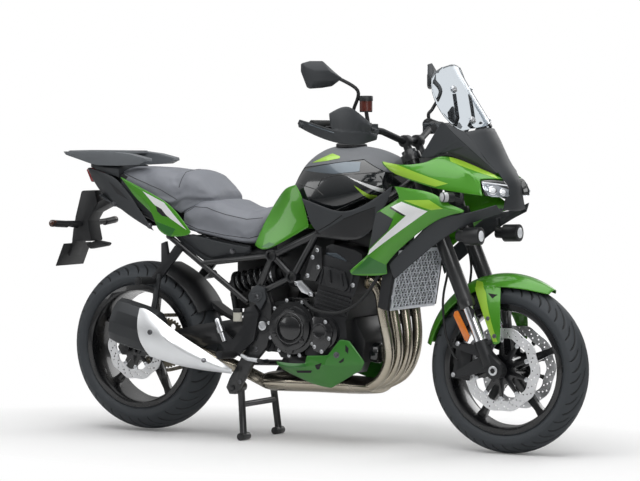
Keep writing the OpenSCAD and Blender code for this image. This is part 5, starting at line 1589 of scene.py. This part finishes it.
@dataclass
class Fork:
    """Fork legs, calipers and the front fender."""

    axle: Point = (788.569, 0, 300)

    def hoses(self) -> None:
        """Adds the brake hoses down the fork."""
        made = Builder()
        low = [(576, -72, 760), (590, -88, 650), (577, -96, 560), (576, -98, 500), (590, -102, 415),
               (620, -108, 352), (640, -110, 330)]
        other = [(x, -y, z) for x, y, z in low]
        for bends in ([(560, -56, 812)] + low, [(566, -40, 812), (574, 16, 794)] + other):
            made.tube(bent(bends), 0.0045, 10)
        Piece.built("brake_hoses", made, SOFT_RUBBER, "fork_upper")

    def reflectors(self) -> None:
        """Adds the amber reflectors beside the fork, on their brackets."""
        bracket = Builder().slab([(636, 500), (690, 522), (712, 508), (706, 470), (664, 440)], -117, -122.5)
        Piece.built("reflector_brackets", bracket, BLACK_PLASTIC, "fork_upper", bevel=0.001, both=True)
        outline = [(637, 502), (649, 505), (696, 418), (687, 397), (677, 402), (632, 487)]
        amber = Builder().slab(outline, -122.5, -128.5)
        Piece.built("amber_reflectors", amber, AMBER, "fork_upper", bevel=0.0015, both=True)

    def fender(self) -> None:
        """Dresses the front fender: a painted highlight on one lit facet, vents painted as shade, and bolts.
        """
        skin = Piece.smooth("front_fender", LIME, 2)
        # Painted highlight: a lighter lime sheet on the facet that faces the light.
        light = [(676, 606), (708, 602), (738, 566), (797, 400), (782, 400), (690, 574)]
        Piece.trim("fender_highlight", skin, [light], LIME_TRIM_AND_HIGHLIGHT, "front_fender")
        # Painted shade: near-black sheets in the fender's vents.
        vent = [(746, 566), (782, 562), (766, 549)]
        Piece.trim("fender_vents", skin, [vent], PAINTED_SHADE_SLOT, "front_fender", 0.001)
        bolts = Builder()
        surface = Surface(skin)
        surface.bolts(bolts, [(758, 480), (786, 420)], 0.006)
        Piece.built("fender_bolts", bolts, BOLT_STEEL, "front_fender", both=True)

    def build(self) -> None:
        """Dresses the fork."""
        Piece.bevelled("fork_upper", FRAME_BLACK, 0.002)
        Piece.paint("fork_tubes", CHROME)
        Piece.bevelled("fork_feet", CAST_BLACK, 0.003)
        Piece.bevelled("front_calipers", CAST_BLACK, 0.004)
        profile = [(0.0165, -0.001), (0.0165, 0.0022), (0.0145, 0.0036), (0.0102, 0.0036)]
        rings = Builder().lathe(mm(self.axle[0], -129.5, self.axle[2]), RIGHT, profile, 36)
        Piece.built("axle_rings", rings, SILVER, "fork_feet", both=True)
        # Painted shade: a near-black disc in each axle's hollow end.
        profile = [(0.0102, 0.0), (0.0098, 0.0006), (0.0, 0.0006)]
        hollow = Builder().lathe(mm(self.axle[0], -133, self.axle[2]), RIGHT, profile, 6)
        Piece.built("axle_sockets", hollow, PAINTED_SHADE_SLOT, "fork_feet", both=True)
        bolts = Builder()
        for x, z in ((643, 387), (626, 278)):
            bolts.bolt(mm(x, -113, z), RIGHT, 0.0075)
        Piece.built("caliper_bolts", bolts, SILVER, "front_calipers", both=True)
        self.hoses()
        self.reflectors()
        self.fender()


@dataclass
class Cockpit:
    """Handlebar, guards, mirrors, instruments and screen."""

    bend_at: Point = (312, -285, 1150)
    end_at: Point = (236, -436, 1152)
    grip_start: float = 0.16
    grip_ribs: int = 40
    bottle_at: Flat = (374, -292)
    dial_at: Point = (560, 0, 1110)
    dial_lean: float = -35.0
    stem: tuple = ((314, -281, 1172), (314, -281, 1190), (326, -292, 1210), (350, -308, 1272),
                   (296, -352, 1316))
    mirror_rows: tuple = ((286, 309, -346, 1307, 1323), (264, 303, -362, 1286, 1342),
                          (244, 287, -400, 1280, 1375), (223, 257, -442, 1277, 1375),
                          (212, 231, -466, 1334, 1368))
    screen_bolts: tuple = ((597, -63, 1276), (670, -61, 1168))

    def grips(self) -> None:
        """Adds the ribbed grips."""
        start = mm(*self.bend_at)
        end = mm(*self.end_at)
        along = (end - start).normalized()
        foot = start.lerp(end, self.grip_start)
        length = (end - foot).length - 0.004
        step = length / self.grip_ribs
        ribs = [(0.0172 + 0.0011 * (i % 2), step * i + 0.0045) for i in range(self.grip_ribs)]
        grips = Builder().lathe(foot, along, [(0.021, 0.0), (0.021, 0.004)] + ribs, 22)
        Piece.built("grips", grips, SOFT_RUBBER, "handlebar", both=True)

    def bottle(self) -> None:
        """Dresses the brake fluid bottle: a red-brown body under a black cap."""
        profile = [(0.019, 0.0), (0.0223, 0.003), (0.0223, 0.038)]
        body = Builder().lathe(mm(*self.bottle_at, 1198), UP, profile, 28)
        Piece.built("fluid_bottle", body, RED_BROWN, "handlebar")
        profile = [(0.0243, 0.0), (0.0243, 0.015), (0.022, 0.018), (0.0, 0.0185)]
        cap = Builder().lathe(mm(*self.bottle_at, 1236), UP, profile, 28)
        Piece.built("fluid_cap", cap, BLACK_PLASTIC, "handlebar")

    def dials(self) -> None:
        """Adds the display in front of the rider."""
        glass = Builder()
        turn = Matrix.Rotation(math.radians(self.dial_lean), 4, "Y")
        sides = ((-0.08, -0.042), (0.08, -0.042), (0.08, 0.042), (-0.08, 0.042))
        corners = [(-0.0112, y, z) for y, z in sides]
        back = [(-0.0132, y * 0.97, z * 0.95) for _, y, z in corners]
        glass.rings([[mm(*self.dial_at) + turn @ Vector(p) for p in ring] for ring in (corners, back)])
        Piece.built("display", glass, DISPLAY, "instrument_panel")

    def heads(self) -> None:
        """Builds the angular mirrors: shells, stems and glass."""
        shells = Builder()
        rings = []
        upper = []
        lower = []
        for back, front, y, low, high in self.mirror_rows:
            deep, tall = front - back, high - low
            ring = [(back, high - 5), (back + 0.45 * deep, high), (front, high - 0.36 * tall),
                    (front - 0.08 * deep, low + 0.28 * tall), (back + 0.35 * deep, low), (back, low + 5)]
            rings.append([mm(x, y, z) for x, z in ring])
            upper.append(mm(back - 1, y, high - 9))
            lower.append(mm(back - 1, y, low + 9))
        shells.rings(rings)
        Piece.built("mirror_shells", shells, CHARCOAL, "mirrors", replaces=True, bevel=0.0025, both=True)
        stems = Builder().tube(bent(self.stem, 6), 0.0062, 14)
        Piece.built("mirror_stems", stems, BLACK_PLASTIC, "mirrors", both=True)
        glass = Builder()
        face = upper[1:-1] + lower[-2:0:-1]
        glass.rings([[p + mm(3, 0, 0) for p in face], face])
        Piece.built("mirror_glass", glass, CHROME, "mirrors", both=True)

    def build(self) -> None:
        """Dresses the cockpit."""
        Piece.bevelled("handlebar", BLACK_PLASTIC, 0.0012)
        Piece.smooth("levers", CAST_BLACK, 2)
        guards = Piece.smooth("handguards", CHARCOAL, 2, crease=30.0)
        Piece.bevelled("instrument_panel", BLACK_PLASTIC, 0.004)
        Piece.smooth("windscreen", CLEAR, 2)
        bolts = Builder()
        profile = [(0.013, -0.004), (0.013, 0.006), (0.008, 0.0075), (0.007, 0.011), (0.0, 0.0115)]
        for place in self.screen_bolts:
            bolts.lathe(mm(*place), (0.84, -0.24, 0.48), profile, 20)
        Piece.built("screen_bolts", bolts, SILVER, "windscreen", both=True)
        lines = Builder()
        Surface(guards).line(lines, [(246, 1156), (290, 1140), (328, 1126)], 0.0016)
        Piece.built("guard_lines", lines, GRAPHITE, "handguards", both=True)
        self.grips()
        self.bottle()
        self.dials()
        self.heads()


@dataclass
class Bodywork:
    """Tank, panels, cowls, nose and lamps."""

    tank_trims: tuple = (
        ("tank_panel", GRAPHITE, 0.0012,
         ((16, 986), (93, 1003), (202, 1019), (258, 1019), (268, 986), (164, 976))),
        ("tank_pads", GLOSS_BLACK, 0.0032,
         ((113, 926), (167, 966), (248, 976), (345, 955), (352, 925), (188, 842))),
        ("tank_stripe", STRIPE_WHITE, 0.0038, ((227, 967), (352, 928), (348, 914))),
        ("tank_line", LIME_TRIM_AND_HIGHLIGHT, 0.0038, ((258, 938), (324, 901), (308, 891))),
        ("tank_flash", LIME_TRIM_AND_HIGHLIGHT, 0.003, ((36, 1004), (128, 1046), (168, 1036), (171, 1026), (120, 1020))),
    )
    shroud_trims: tuple = (
        ("shroud_chevron", STRIPE_WHITE, SHEET_LIFT,
         (((435, 866), (478, 885), (586, 854), (501, 837)),
          ((501, 837), (586, 854), (335, 694), (342, 713)))),
        ("shroud_edging", STRIPE_BLACK, 0.0009,
         (((427, 862), (435, 866), (501, 837), (488, 836)),
          ((488, 836), (501, 837), (342, 713), (341, 706), (340, 714)))),
        ("shroud_insert", CHARCOAL, 0.0016, (((364, 840), (385, 849), (446, 824), (425, 784), (341, 718)),)),
        # Painted highlight on the shroud's lit upper facet.
        ("shroud_highlight", LIME_TRIM_AND_HIGHLIGHT, SHEET_LIFT, (((486, 890), (591, 893), (642, 864), (600, 858)),)),
        # Painted shade on the shroud's lower part.
        ("shroud_foot_shade", LIME_SHADE, SHEET_LIFT, (((258, 624), (404, 632), (404, 662), (340, 690)),)),
    )
    cap_at: Point = (150, 0, 1076)
    cap_axis: Point = (0.02, 0.0, 1.0)
    cap_circle: float = 44.0
    crease: float = 0.0016
    split: float = 0.0018
    lamp_rows: tuple = ((-126, 926, 12), (-98, 920, 10))
    brow_steps: int = 14

    def tank(self) -> None:
        """Dresses the tank: grey cover, raised pads, stripes and filler cap."""
        skin = Piece.smooth("fuel_tank", GLOSS_BLACK, 3)
        top = [[(-95, 872), (14, 996), (14, 1110), (-95, 1110)],
               [(14, 996), (264, 1028), (264, 1110), (14, 1110)],
               [(264, 1028), (365, 978), (365, 1110), (264, 1110)]]
        Piece.trim("tank_cover", skin, top, TANK_GREY, "fuel_tank", 0.0022, -2.0)
        for name, finish, lift, outline in self.tank_trims:
            Piece.trim(name, skin, [outline], finish, "fuel_tank", lift)
        lines = Builder()
        surface = Surface(skin)
        surface.line(lines, [(4, 941), (52, 931), (104, 920), (160, 885), (232, 842)], self.crease)
        surface.line(lines, [(108, 932), (121, 959), (173, 971), (235, 976), (340, 984)], self.crease)
        surface.line(lines, [(114, 925), (212, 915), (298, 901)], 0.0014)
        Piece.built("tank_creases", lines, STRIPE_BLACK, "fuel_tank", both=True)
        profile = [(0.056, -0.006), (0.056, 0.003), (0.052, 0.006), (0.034, 0.0065), (0.033, 0.009),
                   (0.0, 0.0095)]
        cap = Builder().lathe(mm(*self.cap_at), self.cap_axis, profile, 40)
        Piece.built("filler_cap", cap, BLACK_PLASTIC, "fuel_tank")
        bolts = Builder()
        for i in range(6):
            turn = math.radians(60 * i + 20)
            out = mm(self.cap_circle * math.cos(turn), self.cap_circle * math.sin(turn), 5.6)
            bolts.bolt(mm(*self.cap_at) + out, self.cap_axis, 0.004)
        Piece.built("filler_bolts", bolts, SILVER, "fuel_tank")

    def sides(self) -> None:
        """Dresses the shrouds, knee panels and side covers."""
        knee = Piece.smooth("knee_panels", LIME, 2)
        # Painted shade: a darker lime sheet along the knee panel's lower edge.
        shadow = [(-160, 716), (-92, 706), (82, 790), (78, 806), (-90, 728), (-150, 740)]
        Piece.trim("knee_shade", knee, [shadow], LIME_SHADE, "knee_panels")
        side = Piece.smooth("side_panels", CHARCOAL, 2)
        spars = [[(225, 817), (359, 860), (347, 788), (286, 745), (200, 745)],
                 [(225, 817), (200, 745), (125, 745), (125, 765)]]
        Piece.trim("spar_covers", side, spars, FRAME_BLACK, "side_panels")
        # Painted shade: near-black beads in the gaps between the side panels.
        splits = Builder()
        for path in ([(222, 832), (169, 798), (100, 764)], [(226, 818), (296, 843), (359, 864)]):
            Surface(side).line(splits, path, self.split)
        Piece.built("panel_splits", splits, PAINTED_SHADE_SLOT, "side_panels", both=True)
        skin = Piece.smooth("shrouds", LIME, 2)
        for name, finish, lift, outlines in self.shroud_trims:
            Piece.trim(name, skin, outlines, finish, "shrouds", lift)
        Piece.smooth("shroud_liners", CHARCOAL, 2)

    @staticmethod
    def strip(name: str, finish: Finish, outer: Sequence[Point], inner: Sequence[Point]) -> None:
        """Adds a thin band on either side of the nose, between two smooth lines.

        Args:
            name: Name of the piece.
            finish: Its finish.
            outer: Points of its outer line on the right, in millimetres.
            inner: Points of its inner line.
        """
        made = Builder()
        depth = mm(-3, 1, -3)
        made.rings([[a, b, b + depth, a + depth] for a, b in zip(bent(outer), bent(inner))])
        Piece.built(name, made, finish, "nose_cowl", both=True)

    def cowl(self) -> None:
        """Dresses the upper cowl, the nose and the belly cowl."""
        skin = Piece.smooth("upper_cowl", LIME, 2)
        # Painted highlights: lighter lime sheets on the cowl's lit facets.
        band = [(363, 1021), (395, 1022), (639, 949), (594, 938), (412, 983)]
        Piece.trim("cowl_highlight_band", skin, [band], LIME_TRIM_AND_HIGHLIGHT, "upper_cowl")
        light = [(611, 1046), (722, 1011), (790, 964), (757, 976), (627, 1026)]
        Piece.trim("cowl_highlight", skin, [light], LIME_TRIM_AND_HIGHLIGHT, "upper_cowl")
        Piece.smooth("nose_cowl", CHARCOAL, 2, crease=30.0)
        outer = [(601, -147, 1162), (648, -133, 1113), (716, -107, 1047), (774, -77, 987)]
        inner = [(662, -104, 1129), (704, -99, 1081), (738, -89, 1031), (779, -71, 988)]
        self.strip("nose_cheeks", CHARCOAL, outer, inner)
        outer = [(516, -157, 1016), (560, -149, 1026), (612, -125, 1043), (690, -103, 1013), (780, -78, 974)]
        inner = [(512, -149, 1037), (560, -147, 1039), (622, -125, 1055), (690, -103, 1025), (768, -80, 985)]
        self.strip("cockpit_seals", BLACK_PLASTIC, outer, inner)
        # The belly cowl's lime is darkened, as painted shade for its low place.
        belly = Piece.smooth("belly_cowl", SHADED_BELLY_LIME, 2, crease=16.0)
        # Painted shade: a darker sheet low on the belly cowl.
        shadow = [(-48, 300), (80, 300), (88, 290), (40, 280), (-34, 282)]
        Piece.trim("belly_shade", belly, [shadow], LIME_SHADE, "belly_cowl")
        # Painted shade: near-black sheets in the belly cowl's slots.
        slots = [[(38, 273), (107, 277), (100, 268), (41, 265)],
                 [(122, 297), (150, 306), (138, 283), (128, 281)],
                 [(236, 373), (247, 361), (245, 341), (236, 350)],
                 [(212, 311), (232, 327), (230, 314), (219, 307)]]
        Piece.trim("belly_slots", belly, slots, PAINTED_SHADE_SLOT, "belly_cowl", 0.0011)
        bolts = Builder()
        Surface(belly).bolts(bolts, [(205, 336)], 0.0085)
        Piece.built("belly_bolts", bolts, BOLT_STEEL, "belly_cowl", both=True)

    def lamps(self) -> None:
        """Dresses the headlamps with panes, rings, lenses and brows, then the fog lamps and indicators."""
        skin = Piece.smooth("headlamps", GLOSS_BLACK, 2)
        pane = [(752, 956), (780, 950), (822, 928), (824, 906), (793, 899), (772, 909), (758, 934)]
        Piece.trim("lamp_glasses", skin, [pane], LAMP_GLASS, "headlamps", 0.001, -0.6)
        surface = Surface(skin)
        back = Vector((-1.0, 0.0, 0.0))
        bowls = Builder()
        lens = Builder()
        for y, z, radius in self.lamp_rows:
            at, normal = surface.meet(mm(1000, y, z), back)
            size = radius * MM
            bowls.lathe(at, normal, [(size * 1.3, -0.002), (size * 1.3, 0.002), (size, 0.0035)], 28)
            dome = [(size * 0.9, 0.001), (size * 0.8, 0.005), (size * 0.4, 0.0072), (0.0, 0.0076)]
            lens.lathe(at, normal, dome, 28)
        Piece.built("lamp_rings", bowls, CHROME, "headlamps", both=True)
        Piece.built("lamp_lenses", lens, LAMP_WHITE, "headlamps", both=True)
        brow = Builder()
        shares = [i / self.brow_steps for i in range(self.brow_steps + 1)]
        path = [surface.meet(mm(1000, -146 + 68 * t, 954 - 12 * t), back)[0] for t in shares]
        brow.tube(path, 0.0026, 10)
        Piece.built("lamp_brows", brow, LAMP_WHITE, "headlamps", both=True)
        Piece.bevelled("fog_lamps", BLACK_PLASTIC, 0.002)
        profile = [(0.019, -0.001), (0.019, 0.002), (0.014, 0.0045), (0.0, 0.006)]
        fog = Builder().lathe(mm(751.5, -150, 768), (1, 0, 0.03), profile, 32)
        Piece.built("fog_lenses", fog, LAMP_WHITE, "fog_lamps", both=True)
        Piece.bevelled("indicators", BLACK_PLASTIC, 0.003)
        profile = [(0.0176, -0.008), (0.0178, 0.004), (0.016, 0.011), (0.009, 0.015), (0.0, 0.016)]
        pale = Builder().lathe(mm(650, -229, 903.8), mm(-24, -36, 1), profile, 28)
        Piece.built("front_signal_lenses", pale, PALE_LENS, "indicators", both=True)
        profile = [(0.0134, 0.0), (0.0136, 0.012), (0.011, 0.018), (0.0, 0.0205)]
        amber = Builder().lathe(mm(-1019, -196, 777), mm(-8, -86, 6), profile, 24)
        Piece.built("rear_signal_lenses", amber, SMOKED, "indicators", both=True)

    def build(self) -> None:
        """Dresses the bodywork and its lamps."""
        self.tank()
        self.sides()
        self.cowl()
        self.lamps()


@dataclass
class Tail:
    """Seats, tail panels, carrier, lamp and plate."""

    voxel: float = 0.006
    start_in: float = 0.004
    cap: float = 0.006
    pressure: float = 4.0
    frames: int = 20
    held_below: float = -0.3
    fill: float = 0.75
    seam: float = 0.0012
    cover_bolt: float = 0.0085
    step_rows: tuple = ((-552, 130, 846, 880), (-505, 131, 820, 896), (-470, 128, 838, 896),
                        (-430, 122, 852, 894), (-385, 108, 860, 890), (-354, 90, 862, 886))
    top_rows: tuple = ((-952, 52, 986, 1010), (-905, 84, 976, 1002), (-850, 99, 964, 997),
                       (-788, 106, 950, 993))

    def step(self) -> Builder:
        """The passenger seat's foot, which closes it down to the rider's seat.

        Returns:
            The foot's form.
        """
        made = Builder()
        rings = []
        for x, half, low, high in self.step_rows:
            ring = ((-half, low), (half, low), (half - 4, high), (4 - half, high))
            rings.append([mm(x, y, z) for y, z in ring])
        made.rings(rings)
        return made

    def pad(self, node: str) -> bpy.types.Object:
        """Builds a padded seat: the seat's form, swollen from a slightly smaller one.

        Args:
            node: The seat's node.

        Returns:
            The padded piece.
        """
        work = Piece.copy_of(node)
        if node == "passenger_seat":
            work.from_mesh(self.step().mesh("seat_step"))
        mesh = bpy.data.meshes.new(f"{node}_pad")
        work.to_mesh(mesh)
        work.free()
        piece = Piece.place(f"{node}_pad", mesh, VINYL, node, replaces=True, sharp=180.0)
        remesh = piece.modifiers.new("even", "REMESH")
        remesh.mode = "VOXEL"
        remesh.voxel_size = self.voxel
        soft = piece.modifiers.new("soft", "SMOOTH")
        soft.factor = 0.5
        soft.iterations = 8
        Piece.settle(piece)
        self.swell(piece)
        sleek = piece.modifiers.new("sleek", "SMOOTH")
        sleek.factor = 0.5
        sleek.iterations = 10
        piece.modifiers.new("round", "SUBSURF").levels = 1
        Piece.settle(piece)
        piece.data.shade_smooth()
        return piece

    def swell(self, piece: bpy.types.Object) -> None:
        """Blows the pad up like cloth over foam; its underside stays where it rests.

        Args:
            piece: The pad.
        """
        count = len(piece.data.vertices)
        rest = np.zeros(count * 3)
        piece.data.vertices.foreach_get("co", rest)
        rest = rest.reshape(-1, 3)
        normals = np.array([tuple(v.normal) for v in piece.data.vertices])
        held = normals[:, 2] < self.held_below
        rest[~held] -= normals[~held] * self.start_in
        piece.data.vertices.foreach_set("co", rest.ravel())
        cloth = piece.modifiers.new("air", "CLOTH")
        cloth.settings.use_pressure = True
        cloth.settings.uniform_pressure_force = self.pressure
        cloth.settings.effector_weights.gravity = 0.0
        cloth.point_cache.frame_start = 1
        cloth.point_cache.frame_end = self.frames
        scene = bpy.context.scene
        for step in range(1, self.frames + 1):
            scene.frame_set(step)
        Piece.settle(piece)
        scene.frame_set(1)
        moved = np.zeros(count * 3)
        piece.data.vertices.foreach_get("co", moved)
        shift = moved.reshape(-1, 3) - rest
        length = np.linalg.norm(shift, axis=1)
        share = np.where(held, 0.0, np.minimum(1.0, self.cap / np.maximum(length, 1e-9)))
        piece.data.vertices.foreach_set("co", (rest + shift * share[:, None]).ravel())
        piece.data.update()
        LOG.info("%s swelled by %.1f mm at most", piece.name, 1000 * float((length * share).max()))

    def seats(self) -> None:
        """Builds both seats with their seams."""
        rider = Surface(self.pad("rider_seat"))
        seams = Builder()
        for path in ([(-494, 820), (-440, 848), (-380, 846), (-300, 822), (-220, 806), (-160, 812)],
                     [(-490, 790), (-420, 768), (-300, 748), (-200, 738), (-150, 752)]):
            rider.line(seams, path, self.seam)
        Piece.built("rider_seams", seams, SEAM, "rider_seat", both=True)
        passenger = Surface(self.pad("passenger_seat"))
        seams = Builder()
        passenger.line(seams, [(-784, 968), (-687, 940), (-587, 908), (-511, 872)], self.seam)
        seams.mirror()
        passenger.hoop(seams, -506, 880, 74.0, 0.0013)
        Piece.built("passenger_seams", seams, SEAM, "passenger_seat")

    def panels(self) -> None:
        """Dresses the tail panels and covers."""
        skin = Piece.smooth("tail_panels", LIME, 2)
        stripe = [(-660, 902), (-560, 862), (-456, 764), (-529, 804), (-607, 856)]
        Piece.trim("tail_stripe", skin, [stripe], STRIPE_WHITE, "tail_panels")
        # Painted shade: a near-black sheet in the tail panel's slot.
        slot = [(-597, 850), (-570, 838), (-541, 809), (-566, 813), (-588, 828)]
        Piece.trim("tail_slot", skin, [slot], PAINTED_SHADE_SLOT, "tail_panels", 0.0012)
        # Painted shade: a darker sheet low on the tail panel.
        shadow = [(-594, 792), (-504, 766), (-528, 737), (-588, 769)]
        Piece.trim("tail_shade", skin, [shadow], LIME_SHADE, "tail_panels")
        cover = Piece.smooth("tail_cover", CHARCOAL, 2)
        recess = [(-831, 937), (-773, 903), (-728, 867), (-787, 891)]
        Piece.trim("cover_recess", cover, [recess], BLACK_PLASTIC, "tail_cover")
        bolts = Builder()
        Surface(cover).bolts(bolts, [(-807, 851), (-628, 774)], self.cover_bolt)
        Surface(frame["nodes"]["side_panels"]).bolts(bolts, [(-263, 690)], self.cover_bolt)
        Piece.built("cover_bolts_tail", bolts, BOLT_STEEL, "tail_cover", both=True)

    def fillers(self) -> None:
        """Adds the covers and bases that close the tail under the seats and the carrier."""
        top = Builder()
        rings = []
        for x, half, low, high in self.top_rows:
            ring = [(-half, low), (half, low), (half, high - 10), (half - 14, high), (14 - half, high),
                    (-half, high - 10)]
            rings.append([mm(x, y, z) for y, z in ring])
        top.rings(rings)
        Piece.built("tail_top", top, CHARCOAL, "tail_cover", bevel=0.003)
        outline = [(-790, 966), (-640, 914), (-520, 866), (-470, 848), (-300, 798), (-160, 788), (-160, 726),
                   (-300, 722), (-440, 748), (-520, 790), (-640, 868), (-790, 932)]
        Piece.built("seat_base", Builder().slab(outline, -98, 98), BLACK_PLASTIC, "rider_seat")
        back = Builder()
        outline = [(-528, 740), (-449, 747), (-324, 730), (-200, 710), (-200, 686), (-266, 662), (-377, 640),
                   (-468, 690)]
        back.slab(outline, -128, -121)
        outline = [(-764, 945), (-686, 871), (-614, 827), (-556, 806), (-594, 786), (-640, 796), (-700, 850),
                   (-780, 900)]
        back.slab(outline, -117, -110)
        Piece.built("cover_backs", back, CHARCOAL, "tail_cover", both=True)
        arm = Builder()
        outline = [(-1006, 896), (-944, 898), (-930, 850), (-975, 782), (-958, 706), (-1052, 702),
                   (-1034, 799)]
        arm.slab(outline, -40, 40)
        arm.slab([(-1000, 694), (-956, 708), (-900, 700), (-906, 688), (-985, 674)], -18, 18)
        Piece.built("plate_arm", arm, BLACK_PLASTIC, "plate_holder", bevel=0.008)
        stalks = Builder().tube([mm(-1006, -34, 772), mm(-1012, -132, 775)], 0.0105, 16)
        Piece.built("signal_stalks", stalks, BLACK_PLASTIC, "indicators", both=True)

    def build(self) -> None:
        """Dresses the tail."""
        self.seats()
        self.panels()
        self.fillers()
        Piece.bevelled("rear_carrier", CARRIER_GREY, 0.006, segments=3)
        Piece.bevelled("tail_lamp", RED_LENS, 0.004)
        Piece.bevelled("plate_holder", BLACK_PLASTIC, 0.002)


def main() -> None:
    """Builds the scene, sub-assembly by sub-assembly, and notes its size."""
    logging.basicConfig(level=logging.INFO, format="%(name)s %(message)s")
    Studio().build()
    for part in (Chassis(), Engine(), Exhaust(), Wheels(), Fork(), Cockpit(), Bodywork(), Tail()):
        part.build()
        LOG.info("%s done, %d pieces so far", type(part).__name__, Piece.made)


if __name__ == "__main__":
    main()
